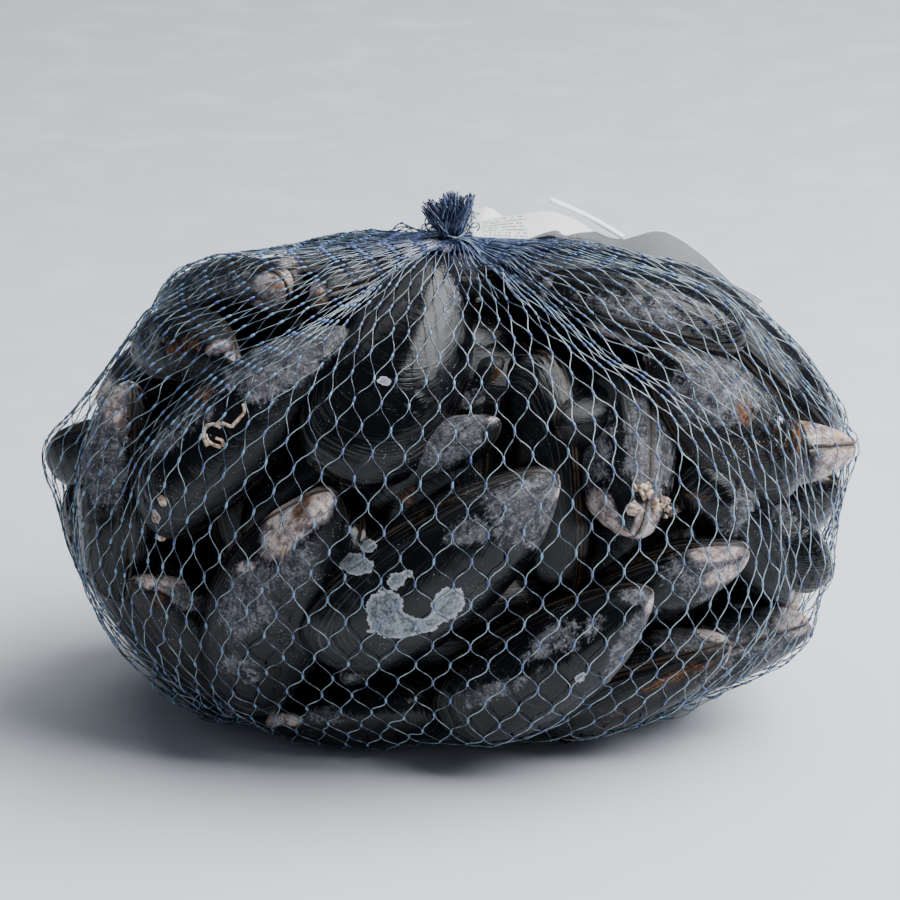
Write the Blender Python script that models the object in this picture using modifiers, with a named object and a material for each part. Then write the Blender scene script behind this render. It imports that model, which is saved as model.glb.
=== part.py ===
"""Net bag of raw mussels, closed at the top by a knot with a tuft, with a blank paper label.

Metres, +Z up, +X to the right and +Y away from the front. The origin is at the middle of the
bottom. The bag is one solid: a smaller core with every mussel of the outer layer fused on,
and the gathered neck and tuft of the net on top.
"""
import math
import random

import bmesh
import bpy
import numpy as np
from mathutils import Vector

MM = 0.001

# The filled bag: half of its width, depth and height, its squareness, and its flat bottom.
HALF = np.array([0.103, 0.062, 0.065])
SQUARENESS = 2.2
FLOOR_DROP = 0.0585
# The bag's centre, set so that the origin is under the middle of the whole object's box.
CENTRE = np.array([0.00058, 0.00018, FLOOR_DROP])

# The line of sight along which the front mussels are laid out.
VIEW_TILT = math.radians(20.0)
VIEW_AWAY = 0.85
VIEW_AIM_UP = 0.0099
VIEW_RIGHT = np.array([1.0, 0.0, 0.0])
VIEW_UP = np.array([0.0, math.sin(VIEW_TILT), math.cos(VIEW_TILT)])
VIEW_IN = np.array([0.0, math.cos(VIEW_TILT), -math.sin(VIEW_TILT)])
VIEW_EYE = VIEW_AIM_UP * VIEW_UP - VIEW_AWAY * VIEW_IN
SIGHT_STEPS = np.linspace(0.85, 1.15, 601)

# The mussels that the front shows. Each has its beak and its rounded tip, in mm to the right
# of and above the bag's centre as the front view shows them, its height as a share of its
# length, its roll about its length in degrees (0 shows a flank, 90 an edge), and how many mm
# its beak and its tip lie deeper than the bag's outer form.
FRONT_MUSSELS = [
    ("far_left", (-66, 12), (-105, 10), 0.44, 60, 26, 4),
    ("left_upright", (-84, 28), (-85, -30), 0.42, 160, 5, 6),
    ("left_patch", (-55, 34), (-81, 34), 0.50, 200, 5, 24),
    ("top_left_edge", (-42, 52), (-74, 48), 0.46, 100, 3, 24),
    ("big_grey_left", (-28, 43), (-75, -13), 0.42, 200, 6, 6),
    ("big_top", (2, 58), (-37, 6), 0.56, 15, 4, 8),
    ("pale_streak", (12, 19), (-22, -8), 0.42, 170, 9, 24),
    ("orange_patch", (15, 32), (-18, 8), 0.46, 20, 18, 36),
    ("centre_edge", (47, -14), (43, 50), 0.50, 92, 6, 34),
    ("right_beak", (78, -17), (34, -28), 0.50, 15, 5, 22),
    ("big_centre", (30, 1), (-40, -38), 0.46, 20, 5, 6),
    ("lower_centre", (54, -29), (-5, -56), 0.46, -20, 5, 7),
    ("lower_right", (73, -41), (18, -58), 0.42, 10, 6, 14),
    ("right_base", (93, -35), (50, -48), 0.48, 20, 3, 18),
    ("right_black", (66, 6), (98, -22), 0.48, 200, 26, 2),
    ("right_streaked", (90, -28), (58, 4), 0.42, 200, 6, 18),
    ("right_brown", (55, 34), (97, 8), 0.58, 165, 5, 10),
    ("top_right", (24, 52), (76, 40), 0.50, 190, 6, 6),
    ("far_right_edge", (105, 11), (62, 6), 0.46, 90, -8, 26),
    ("lower_left_edge", (-81, -22), (-54, -54), 0.46, 80, 5, 10),
    ("left_centre", (-34, 0), (-49, -57), 0.48, 195, 6, 7),
    ("bottom_left", (-48, -59), (0, -60), 0.40, 60, 5, 12),
    ("small_low", (-8, -28), (-28, -50), 0.44, 0, 36, 14),
    ("top_left_pale", (-36, 49), (-4, 57), 0.48, 20, 5, 42),
    ("top_right_back", (11, 57), (62, 47), 0.48, 10, 9, 14),
]

# The form of one mussel, as shares of its length. Each curve's two powers say how fast it
# swells from the beak and how roundly it closes at the tip.
SHELL_THICK = 0.40
BACK_SHARE = 0.64
BACK_CURVE = (0.85, 0.40)
BELLY_CURVE = (0.50, 0.45)
THICK_CURVE = (0.62, 0.42)
EDGE_SHARPNESS = 1.15
EDGE_KEEL = 0.20
TIP_RISE = 0.02
SHELL_RINGS = 5
SHELL_SIDES = 10

# The other mussels: how many places are tried round the bag, how far out they start, which
# are turned too far to the front, their sizes, and how they are settled side by side.
PLACES_TRIED = 60
PLACE_DEPTH = 0.80
FACES_FRONT = -0.05
SHORTEST = 0.056
LONGEST = 0.074
FLATTEST = 0.44
TALLEST = 0.52
ROLL_SPREAD = 25
SETTLE_STEPS = 200
SETTLE_SEED = 48
SHARE_LOOSE = 0.5
SHARE_FIXED = 0.8
PULL_IN = 0.9
PUSH_OUT = 0.12
PUSH_OUT_REACH = 0.004
SLIDE_RATE = 0.6
TURN_RATE = 0.5
BALL_SPOTS = np.array([0.12, 0.30, 0.50, 0.70, 0.88])
BALL_SIZES = np.array([0.085, 0.15, 0.19, 0.185, 0.12])

# The unseen core: how far it lies inside the bag's outer form, and how far it passes the floor.
CORE_INSET = 0.0165
CORE_BELOW = 0.0030
CORE_SEGMENTS = 20
CORE_RINGS = 12

# The block that cuts the bottom flat.
FLOOR_WIDTH = 0.4
FLOOR_DEPTH = 0.05

# The gathered neck of the net, as height above the bag's centre and radius, and its tuft.
NECK_PROFILE = [(0.0, 0.0695), (0.0021, 0.0695), (0.0023, 0.0655), (0.0045, 0.0628),
                (0.0095, 0.0600), (0.0175, 0.0560), (0.0175, 0.0500), (0.0, 0.0500)]
NECK_X = 0.0005
NECK_Y = 0.0050
NECK_SIDES = 20
TUFT_LOBES = [
    # half width, half depth, half height, sideways shift, height of the middle, lean
    (0.0031, 0.0024, 0.0066, 0.0004, 0.0747, 3.0),
    (0.0024, 0.0020, 0.0052, -0.0034, 0.0728, -32.0),
    (0.0022, 0.0019, 0.0055, 0.0034, 0.0733, 28.0),
]

# The strands wound round the neck.
TIE_RADIUS = 0.0037
TIE_THICK = 0.00065
TIE_HEIGHT = 0.0668
TIE_LEAN = 10.0

# The paper label. It folds over a ridge behind the knot: a short flap comes forward on the
# left, and the rest lies down the back. The ridge is in mm to the right of, behind and above
# the bag's centre. The flap narrows between two places, in mm to the right.
LABEL_LEFT = 0.0055
LABEL_RIGHT = 0.080
LABEL_RIDGE = np.array([
    (5.5, 16.0, 66.3), (14.0, 21.0, 67.3), (26.0, 25.0, 67.8), (33.0, 26.5, 65.0),
    (38.0, 27.5, 61.2), (44.0, 28.0, 58.6), (50.0, 29.0, 60.2), (55.0, 29.0, 61.6),
    (60.0, 28.5, 58.6), (67.0, 26.0, 50.8), (74.0, 23.5, 45.4), (80.0, 20.0, 42.5),
])
RIDGE_ROUNDING = 2.0
FLAP_NARROWS = 26.0
FLAP_ENDS = 38.0
FLAP_SHARE = 0.20
FLAP_FRONT = 0.0125
FLAP_LIFT = 0.0024
LABEL_LOW_ANGLE = 88.0
LABEL_LIFT = 0.0035
LABEL_THICK = 0.0006
LABEL_COLUMNS = 26
LABEL_ROWS = 10


def clear_scene():
    for thing in list(bpy.data.objects):
        bpy.data.objects.remove(thing, do_unlink=True)


def material(name, color, roughness, metallic=0.0):
    made = bpy.data.materials.new(name)
    made.use_nodes = True
    shader = made.node_tree.nodes["Principled BSDF"]
    shader.inputs["Base Color"].default_value = (*color, 1.0)
    shader.inputs["Roughness"].default_value = roughness
    shader.inputs["Metallic"].default_value = metallic
    return made


def new_object(name, mesh, collection, finish=None):
    made = bpy.data.objects.new(name, mesh)
    collection.objects.link(made)
    if finish is not None:
        made.data.materials.append(finish)
    return made


def bag_size(points):
    """1 on the filled bag's outer form, less inside it."""
    scaled = np.abs(points / HALF)
    rounded = (scaled ** SQUARENESS).sum(axis=-1) ** (1 / SQUARENESS)
    return np.maximum(rounded, -points[..., 2] / FLOOR_DROP)


def outward(points):
    """The direction away from the bag's middle, square to its outer form."""
    slope = np.abs(points / HALF) ** (SQUARENESS - 1) * np.sign(points) / HALF
    return slope / np.linalg.norm(slope, axis=-1, keepdims=True)


def front_point(right, up, deeper):
    """Where the sight line at right, up meets the bag, or comes nearest, moved deeper."""
    ray = right * VIEW_RIGHT + up * VIEW_UP - VIEW_EYE
    line = VIEW_EYE + SIGHT_STEPS[:, None] * ray
    size = bag_size(line)
    inside = np.nonzero(size <= 1)[0]
    seen = inside[0] if len(inside) else size.argmin()
    return line[seen] + deeper * ray / np.linalg.norm(ray)


def mussel(beak, tip, height, roll):
    """A mussel's place: beak, length, height share, and its three axes."""
    axis = tip - beak
    length = np.linalg.norm(axis)
    axis = axis / length
    out = outward((beak + tip) / 2)
    out = out - axis * (out @ axis)
    out = out / np.linalg.norm(out)
    turn = math.radians(roll)
    thick = out * math.cos(turn) + np.cross(out, axis) * math.sin(turn)
    return {"beak": beak, "length": length, "height": height,
            "axis": axis, "back": np.cross(thick, axis), "thick": thick}


def front_mussels():
    placed = []
    for _, beak, tip, height, roll, beak_depth, tip_depth in FRONT_MUSSELS:
        start = front_point(beak[0] * MM, beak[1] * MM, beak_depth * MM)
        end = front_point(tip[0] * MM, tip[1] * MM, tip_depth * MM)
        placed.append(mussel(start, end, height, roll))
    return placed


def balls(placed):
    """Five balls along each mussel stand for it while the others settle round it."""
    centres = [m["beak"] + m["axis"] * m["length"] * BALL_SPOTS[:, None] for m in placed]
    sizes = [m["length"] * BALL_SIZES for m in placed]
    return np.concatenate(centres), np.concatenate(sizes)


def first_places():
    """Evenly spread places on the sides, back, top and bottom, each with a loose direction."""
    draw = random.Random(SETTLE_SEED)
    golden = math.pi * (3 - math.sqrt(5))
    loose = []
    for i in range(PLACES_TRIED):
        level = 1 - 2 * (i + 0.5) / PLACES_TRIED
        ring = math.sqrt(1 - level * level)
        way = np.array([ring * math.cos(golden * i), ring * math.sin(golden * i), level])
        spot = way * HALF
        spot = spot / bag_size(spot)
        out = outward(spot)
        if out @ VIEW_IN < FACES_FRONT:
            continue
        length = draw.uniform(SHORTEST, LONGEST)
        axis = np.array([draw.gauss(0, 1), draw.gauss(0, 1), draw.gauss(0, 0.6)])
        axis = axis - out * (axis @ out)
        axis = axis / np.linalg.norm(axis)
        roll = draw.choice((0, 180, 90)) + draw.uniform(-ROLL_SPREAD, ROLL_SPREAD)
        beak = spot * PLACE_DEPTH - axis * length / 2
        loose.append({"beak": beak, "length": length, "axis": axis, "roll": roll,
                      "height": draw.uniform(FLATTEST, TALLEST)})
    return loose


def push_apart(centres, sizes, others, other_sizes, share):
    """How far each ball has to move to clear the other balls."""
    away = centres[:, None] - others[None]
    far = np.linalg.norm(away, axis=2) + 1e-9
    lap = np.maximum(sizes[:, None] + other_sizes[None] - far, 0)
    return away / far[..., None] * lap[..., None] * share


def settle(loose, fixed):
    """Slides and turns the loose mussels until they lie side by side against the net."""
    fixed_centres, fixed_sizes = balls(fixed)
    count = len(BALL_SPOTS)
    owner = np.repeat(np.arange(len(loose)), count)
    same = owner[:, None] == owner[None]
    for _ in range(SETTLE_STEPS):
        centres, sizes = balls(loose)
        own = push_apart(centres, sizes, centres, sizes, SHARE_LOOSE)
        own[same] = 0
        push = own.sum(axis=1)
        fixed_push = push_apart(centres, sizes, fixed_centres, fixed_sizes, SHARE_FIXED)
        push += fixed_push.sum(axis=1)
        reach = np.linalg.norm(centres, axis=1)
        room = reach * (1 / bag_size(centres) - 1) - sizes
        drift = np.where(room < 0, room * PULL_IN, np.minimum(room, PUSH_OUT_REACH) * PUSH_OUT)
        push += outward(centres) * drift[:, None]
        for k, body in enumerate(loose):
            mine = slice(k * count, (k + 1) * count)
            middle = body["beak"] + body["axis"] * body["length"] / 2
            arm = centres[mine] - middle
            spin = np.cross(arm, push[mine]).sum(axis=0) / (arm ** 2).sum() * TURN_RATE
            axis = body["axis"] + np.cross(spin, body["axis"])
            body["axis"] = axis / np.linalg.norm(axis)
            middle = middle + push[mine].mean(axis=0) * SLIDE_RATE
            body["beak"] = middle - body["axis"] * body["length"] / 2
    return [mussel(b["beak"], b["beak"] + b["axis"] * b["length"], b["height"], b["roll"])
            for b in loose]


def swell(t, rise, fall):
    """A curve from 0 at the beak through 1 to 0 at the tip."""
    peak = rise / (rise + fall)
    return t ** rise * (1 - t) ** fall / (peak ** rise * (1 - peak) ** fall)


def shell_ring(t, height):
    """One closed section of a mussel of length 1 at t along it."""
    back = height * BACK_SHARE * swell(t, *BACK_CURVE)
    belly = height * (1 - BACK_SHARE) * swell(t, *BELLY_CURVE)
    half = SHELL_THICK / 2 * swell(t, *THICK_CURVE)
    ring = []
    for j in range(SHELL_SIDES):
        a = 2 * math.pi * j / SHELL_SIDES
        edge = EDGE_SHARPNESS + EDGE_KEEL * math.cos(a)
        y = (back - belly) / 2 + (back + belly) / 2 * math.cos(a)
        z = half * math.copysign(abs(math.sin(a)) ** edge, math.sin(a))
        ring.append((t, y, z))
    return ring


def mussel_mesh(place, name):
    """A shut mussel: a loft from its beak through its sections to its rounded tip."""
    def world(point):
        offset = place["axis"] * point[0] + place["back"] * point[1] + place["thick"] * point[2]
        return Vector(place["beak"] + place["length"] * offset + CENTRE)

    shape = bmesh.new()
    beak = shape.verts.new(world((0.0, 0.0, 0.0)))
    tip = shape.verts.new(world((1.0, TIP_RISE, 0.0)))
    rings = []
    for i in range(1, SHELL_RINGS + 1):
        t = 0.5 - 0.5 * math.cos(math.pi * i / (SHELL_RINGS + 1))
        rings.append([shape.verts.new(world(p)) for p in shell_ring(t, place["height"])])
    for j in range(SHELL_SIDES):
        k = (j + 1) % SHELL_SIDES
        shape.faces.new((beak, rings[0][k], rings[0][j]))
        shape.faces.new((tip, rings[-1][j], rings[-1][k]))
        for near, far in zip(rings, rings[1:]):
            shape.faces.new((near[j], near[k], far[k]))
            shape.faces.new((near[j], far[k], far[j]))
    bmesh.ops.recalc_face_normals(shape, faces=shape.faces)
    mesh = bpy.data.meshes.new(name)
    shape.to_mesh(mesh)
    shape.free()
    return mesh


def core_mesh():
    """The unseen inside of the heap: a smaller bag that reaches the floor."""
    shape = bmesh.new()
    bmesh.ops.create_uvsphere(shape, u_segments=CORE_SEGMENTS, v_segments=CORE_RINGS, radius=1.0)
    bmesh.ops.triangulate(shape, faces=shape.faces)
    half = HALF - CORE_INSET
    lower_half = FLOOR_DROP + CORE_BELOW
    for vert in shape.verts:
        spot = np.array(vert.co)
        spot = spot / (np.abs(spot) ** SQUARENESS).sum() ** (1 / SQUARENESS)
        level = spot[2] * (half[2] if spot[2] > 0 else lower_half)
        vert.co = Vector(np.array([spot[0] * half[0], spot[1] * half[1], level]) + CENTRE)
    mesh = bpy.data.meshes.new("core")
    shape.to_mesh(mesh)
    shape.free()
    return mesh


def neck_object(collection):
    """The gathered net above the mussels: a turned profile that narrows to the knot."""
    mesh = bpy.data.meshes.new("neck")
    shape = bmesh.new()
    last = None
    for radius, level in NECK_PROFILE:
        vert = shape.verts.new((radius, 0.0, level))
        if last is not None:
            shape.edges.new((last, vert))
        last = vert
    shape.to_mesh(mesh)
    shape.free()
    neck = new_object("neck", mesh, collection)
    neck.location = Vector(CENTRE) + Vector((NECK_X, NECK_Y, 0.0))
    screw = neck.modifiers.new("turn", "SCREW")
    screw.steps = NECK_SIDES
    screw.render_steps = NECK_SIDES
    screw.use_merge_vertices = True
    screw.merge_threshold = 0.0001
    return neck


def tuft_lobes(collection):
    """The loose net above the knot, in three flat clumps that fan out."""
    for half_x, half_y, half_z, shift, level, lean in TUFT_LOBES:
        bpy.ops.mesh.primitive_uv_sphere_add(segments=12, ring_count=8, radius=1.0)
        lobe = bpy.context.object
        move_to(lobe, "tuft_lobe", collection)
        lobe.scale = (half_x, half_y, half_z)
        lobe.rotation_euler = (0.0, math.radians(lean), 0.0)
        lobe.location = Vector(CENTRE) + Vector((NECK_X + shift, NECK_Y, level))


def keep_outer_body(mesh):
    """Drops loose scraps and the walls of sealed hollows, so one solid body is left."""
    shape = bmesh.new()
    shape.from_mesh(mesh)
    bmesh.ops.triangulate(shape, faces=shape.faces)
    left = set(shape.verts)
    bodies = []
    while left:
        start = left.pop()
        body = {start}
        edge = [start]
        while edge:
            vert = edge.pop()
            for link in vert.link_edges:
                other = link.other_vert(vert)
                if other not in body:
                    body.add(other)
                    edge.append(other)
        left -= body
        bodies.append(body)
    largest = max(bodies, key=len)
    spare = [v for body in bodies if body is not largest for v in body]
    bmesh.ops.delete(shape, geom=spare, context="VERTS")
    shape.to_mesh(mesh)
    shape.free()


def move_to(thing, name, collection):
    """Names an object made by an operator and moves it to its collection."""
    thing.name = name
    for home in list(thing.users_collection):
        home.objects.unlink(thing)
    collection.objects.link(thing)


def apply_modifiers(thing):
    graph = bpy.context.evaluated_depsgraph_get()
    made = bpy.data.meshes.new_from_object(thing.evaluated_get(graph))
    thing.modifiers.clear()
    thing.data = made


def build_bag(part, finish):
    """Fuses core, mussels, neck and tuft into one solid and gives it a flat bottom."""
    pieces = bpy.data.collections.new("pieces")
    cutters = bpy.data.collections.new("cutters")
    bpy.context.scene.collection.children.link(pieces)
    bpy.context.scene.collection.children.link(cutters)
    front = front_mussels()
    for i, place in enumerate(front + settle(first_places(), front)):
        name = f"mussel_{i:02d}"
        new_object(name, mussel_mesh(place, name), pieces)
    neck_object(pieces)
    tuft_lobes(pieces)

    bag = new_object("mussel_net_bag", core_mesh(), part)
    union = bag.modifiers.new("fuse", "BOOLEAN")
    union.operation = "UNION"
    union.operand_type = "COLLECTION"
    union.collection = pieces
    union.solver = "EXACT"

    bpy.ops.mesh.primitive_cube_add(size=1.0)
    floor = bpy.context.object
    move_to(floor, "floor_cut", cutters)
    floor.scale = (FLOOR_WIDTH, FLOOR_WIDTH, FLOOR_DEPTH)
    floor.location = (0.0, 0.0, -FLOOR_DEPTH / 2)
    cut = bag.modifiers.new("flat_bottom", "BOOLEAN")
    cut.operation = "DIFFERENCE"
    cut.object = floor
    cut.solver = "EXACT"
    apply_modifiers(bag)
    for used in (pieces, cutters):
        for thing in list(used.objects):
            bpy.data.objects.remove(thing, do_unlink=True)
        bpy.data.collections.remove(used)
    keep_outer_body(bag.data)
    bag.data.materials.clear()
    bag.data.materials.append(finish)
    return bag


def build_tie(part, finish):
    """A ring of strand round the neck, just under the tuft."""
    bpy.ops.mesh.primitive_torus_add(major_radius=TIE_RADIUS, minor_radius=TIE_THICK,
                                     major_segments=24, minor_segments=8)
    tie = bpy.context.object
    move_to(tie, "neck_tie", part)
    tie.location = Vector(CENTRE) + Vector((NECK_X, NECK_Y, TIE_HEIGHT))
    tie.rotation_euler = (0.0, math.radians(TIE_LEAN), 0.0)
    tie.data.materials.append(finish)
    tie.data.shade_smooth()
    return tie


def label_ridge(x):
    """The label's ridge at x, with its corners rounded."""
    spots = x / MM + RIDGE_ROUNDING * np.array([-1.0, 0.0, 1.0])
    y = np.interp(spots, LABEL_RIDGE[:, 0], LABEL_RIDGE[:, 1]).mean()
    z = np.interp(spots, LABEL_RIDGE[:, 0], LABEL_RIDGE[:, 2]).mean()
    return np.array([x, y * MM, z * MM])


def form_reach(x, angle):
    """How far the bag's outer form lies from its long axis, at an angle from straight up."""
    room = 1 - (abs(x) / HALF[0]) ** SQUARENESS
    spread = ((math.sin(angle) / HALF[1]) ** SQUARENESS
              + (math.cos(angle) / HALF[2]) ** SQUARENESS)
    return (room / spread) ** (1 / SQUARENESS)


def label_point(across, down):
    """A point of the label: on its flap, or where it follows the bag's back."""
    x = LABEL_LEFT + (LABEL_RIGHT - LABEL_LEFT) * across
    ridge = label_ridge(x)
    wide = min(max((FLAP_ENDS - x / MM) / (FLAP_ENDS - FLAP_NARROWS), 0.0), 1.0)
    flap = FLAP_SHARE * wide
    if down < flap:
        front = ridge.copy()
        front[1] += (FLAP_FRONT - ridge[1]) * wide
        angle = math.atan2(front[1], ridge[2])
        low = form_reach(x, angle) * math.cos(angle) + FLAP_LIFT
        front[2] += (low - ridge[2]) * wide
        return Vector(ridge + (front - ridge) * (1 - down / flap) + CENTRE)
    share = (down - flap) / (1 - flap)
    top = math.atan2(ridge[1], ridge[2])
    angle = top + (math.radians(LABEL_LOW_ANGLE) - top) * share
    rise = math.hypot(ridge[1], ridge[2]) - form_reach(x, top) - LABEL_LIFT
    reach = form_reach(x, angle) + LABEL_LIFT + rise * (1 - share) ** 3
    return Vector(np.array([x, math.sin(angle) * reach, math.cos(angle) * reach]) + CENTRE)


def build_label(part, finish):
    """A thin wavy sheet of paper behind the knot and down the back."""
    bpy.ops.mesh.primitive_grid_add(x_subdivisions=LABEL_COLUMNS, y_subdivisions=LABEL_ROWS,
                                    size=1.0)
    label = bpy.context.object
    move_to(label, "paper_label", part)
    for vert in label.data.vertices:
        vert.co = label_point(vert.co.x + 0.5, 0.5 - vert.co.y)
    split = label.modifiers.new("split", "TRIANGULATE")
    split.quad_method = "FIXED"
    thicken = label.modifiers.new("thicken", "SOLIDIFY")
    thicken.thickness = LABEL_THICK
    thicken.offset = 0.0
    label.data.materials.append(finish)
    label.data.shade_smooth()
    return label


def main():
    clear_scene()
    part = bpy.data.collections.new("mussel_net_bag")
    bpy.context.scene.collection.children.link(part)
    shells = material("shells", (0.035, 0.038, 0.045), 0.30)
    twine = material("net_twine", (0.10, 0.20, 0.36), 0.40)
    paper = material("label_paper", (0.86, 0.86, 0.87), 0.60)
    build_bag(part, shells)
    build_tie(part, twine)
    build_label(part, paper)


main()
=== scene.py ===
"""Looks of the net bag of raw mussels: shells, net, tuft, label, floor, light and camera."""
import math
import random

import bmesh
import bpy
import numpy as np
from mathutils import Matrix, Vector
from mathutils.bvhtree import BVHTree


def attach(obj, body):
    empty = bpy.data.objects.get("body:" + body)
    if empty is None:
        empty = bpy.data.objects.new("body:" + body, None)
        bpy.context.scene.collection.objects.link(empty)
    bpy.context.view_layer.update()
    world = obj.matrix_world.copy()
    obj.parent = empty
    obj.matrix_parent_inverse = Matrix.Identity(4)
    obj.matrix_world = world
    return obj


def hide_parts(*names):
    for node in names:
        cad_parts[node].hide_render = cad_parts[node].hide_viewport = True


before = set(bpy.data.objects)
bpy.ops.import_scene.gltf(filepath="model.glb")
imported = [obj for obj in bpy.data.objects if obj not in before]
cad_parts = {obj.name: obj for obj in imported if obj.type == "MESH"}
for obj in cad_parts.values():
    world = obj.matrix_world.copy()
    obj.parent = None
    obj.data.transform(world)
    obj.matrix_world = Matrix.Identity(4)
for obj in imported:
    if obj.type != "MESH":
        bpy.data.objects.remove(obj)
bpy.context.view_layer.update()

MM = 0.001

# The filled bag: half of its width, depth and height, its squareness, and its flat bottom.
HALF = np.array([0.103, 0.062, 0.065])
SQUARENESS = 2.2
FLOOR_DROP = 0.0585
CENTRE = np.array([0.00058, 0.00018, FLOOR_DROP])

# The line of sight along which the front mussels are laid out, and the camera looks.
VIEW_TILT = math.radians(20.0)
VIEW_AWAY = 0.85
VIEW_AIM_UP = 0.0099
VIEW_RIGHT = np.array([1.0, 0.0, 0.0])
VIEW_UP = np.array([0.0, math.sin(VIEW_TILT), math.cos(VIEW_TILT)])
VIEW_IN = np.array([0.0, math.cos(VIEW_TILT), -math.sin(VIEW_TILT)])
VIEW_EYE = VIEW_AIM_UP * VIEW_UP - VIEW_AWAY * VIEW_IN
SIGHT_STEPS = np.linspace(0.85, 1.15, 601)
VIEW_WIDTH = 0.234
SENSOR_WIDTH = 36.0

# The mussels that the front shows. Each has its beak and its rounded tip, in mm to the right
# of and above the bag's centre as the front view shows them, its height as a share of its
# length, its roll about its length in degrees (0 shows a flank, 90 an edge), how many mm its
# beak and its tip lie deeper than the bag's outer form, and its looks: how grey it is, how far
# its beak is bared as a share of its length, how brown it is, and how wet.
FRONT_MUSSELS = [
    ("far_left", (-66, 12), (-105, 10), 0.44, 60, 26, 4, (0.05, 0.04, 0.5, 1.0)),
    ("left_upright", (-84, 28), (-85, -30), 0.42, 160, 5, 6, (0.50, 0.08, 0.4, 0.6)),
    ("left_patch", (-55, 34), (-81, 34), 0.50, 200, 5, 24, (0.25, 0.04, 0.6, 0.8)),
    ("top_left_edge", (-42, 52), (-74, 48), 0.46, 100, 3, 24, (0.30, 0.12, 0.7, 0.7)),
    ("big_grey_left", (-28, 43), (-75, -13), 0.42, 200, 6, 6, (0.35, 0.00, 0.4, 0.8)),
    ("big_top", (2, 58), (-37, 6), 0.56, 15, 4, 8, (0.10, 0.02, 0.1, 1.0)),
    ("pale_streak", (12, 19), (-22, -8), 0.42, 170, 9, 24, (0.45, 0.04, 0.2, 0.6)),
    ("orange_patch", (15, 32), (-18, 8), 0.46, 20, 18, 36, (0.30, 0.01, 0.5, 0.8)),
    ("centre_edge", (47, -14), (43, 50), 0.50, 92, 6, 34, (0.50, 0.04, 0.4, 0.6)),
    ("right_beak", (78, -17), (34, -28), 0.50, 15, 5, 22, (0.30, 0.12, 0.2, 0.8)),
    ("big_centre", (30, 1), (-40, -38), 0.46, 20, 5, 6, (0.16, 0.04, 0.2, 1.0)),
    ("lower_centre", (54, -29), (-5, -56), 0.46, -20, 5, 7, (0.30, 0.06, 0.5, 0.8)),
    ("lower_right", (73, -41), (18, -58), 0.42, 10, 6, 14, (0.30, 0.08, 1.0, 0.8)),
    ("right_base", (93, -35), (50, -48), 0.48, 20, 3, 18, (0.60, 0.08, 0.3, 0.5)),
    ("right_black", (66, 6), (98, -22), 0.48, 200, 26, 2, (0.03, 0.04, 0.3, 1.0)),
    ("right_streaked", (90, -28), (58, 4), 0.42, 200, 6, 18, (0.28, 0.08, 0.5, 0.8)),
    ("right_brown", (55, 34), (97, 8), 0.58, 165, 5, 10, (0.45, 0.02, 0.9, 0.6)),
    ("top_right", (24, 52), (76, 40), 0.50, 190, 6, 6, (0.32, 0.04, 0.6, 0.7)),
    ("far_right_edge", (105, 11), (62, 6), 0.46, 90, -8, 26, (0.35, 0.30, 0.5, 0.7)),
    ("lower_left_edge", (-81, -22), (-54, -54), 0.46, 80, 5, 10, (0.28, 0.10, 0.8, 0.8)),
    ("left_centre", (-34, 0), (-49, -57), 0.48, 195, 6, 7, (0.34, 0.10, 0.3, 0.8)),
    ("bottom_left", (-48, -59), (0, -60), 0.40, 60, 5, 12, (0.22, 0.10, 0.4, 0.8)),
    ("small_low", (-8, -28), (-28, -50), 0.44, 0, 36, 14, (0.45, 0.04, 0.3, 0.7)),
    ("top_left_pale", (-36, 49), (-4, 57), 0.48, 20, 5, 42, (0.15, 0.04, 0.4, 0.8)),
    ("top_right_back", (11, 57), (62, 47), 0.48, 10, 9, 14, (0.15, 0.04, 0.4, 0.8)),
]

# The form of one mussel, as shares of its length. Each curve's two powers say how fast it
# swells from the beak and how roundly it closes at the tip.
SHELL_THICK = 0.40
BACK_SHARE = 0.64
BACK_CURVE = (0.70, 0.40)
BELLY_CURVE = (0.50, 0.45)
THICK_CURVE = (0.54, 0.42)
EDGE_SHARPNESS = 1.15
EDGE_KEEL = 0.20
TIP_RISE = 0.02

# The other mussels: how many places are tried round the bag, how far out they start, which
# are turned too far to the front, their sizes, and how they are settled side by side.
PLACES_TRIED = 60
PLACE_DEPTH = 0.80
FACES_FRONT = -0.05
SHORTEST = 0.056
LONGEST = 0.074
FLATTEST = 0.44
TALLEST = 0.52
ROLL_SPREAD = 25
SETTLE_STEPS = 200
SETTLE_SEED = 48
SHARE_LOOSE = 0.5
SHARE_FIXED = 0.8
PULL_IN = 0.9
PUSH_OUT = 0.12
PUSH_OUT_REACH = 0.004
SLIDE_RATE = 0.6
TURN_RATE = 0.5
BALL_SPOTS = np.array([0.12, 0.30, 0.50, 0.70, 0.88])
BALL_SIZES = np.array([0.085, 0.15, 0.19, 0.185, 0.12])


def bag_size(points):
    """1 on the filled bag's outer form, less inside it."""
    scaled = np.abs(points / HALF)
    rounded = (scaled ** SQUARENESS).sum(axis=-1) ** (1 / SQUARENESS)
    return np.maximum(rounded, -points[..., 2] / FLOOR_DROP)


def outward(points):
    """The direction away from the bag's middle, square to its outer form."""
    slope = np.abs(points / HALF) ** (SQUARENESS - 1) * np.sign(points) / HALF
    return slope / np.linalg.norm(slope, axis=-1, keepdims=True)


def front_point(right, up, deeper):
    """Where the sight line at right, up meets the bag, or comes nearest, moved deeper; in mm."""
    ray = right * MM * VIEW_RIGHT + up * MM * VIEW_UP - VIEW_EYE
    line = VIEW_EYE + SIGHT_STEPS[:, None] * ray
    size = bag_size(line)
    inside = np.nonzero(size <= 1)[0]
    seen = inside[0] if len(inside) else size.argmin()
    return line[seen] + deeper * MM * ray / np.linalg.norm(ray)


def unit(vector):
    return vector / np.linalg.norm(vector)


def units(vectors):
    return vectors / (np.linalg.norm(vectors, axis=-1, keepdims=True) + 1e-12)


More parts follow.
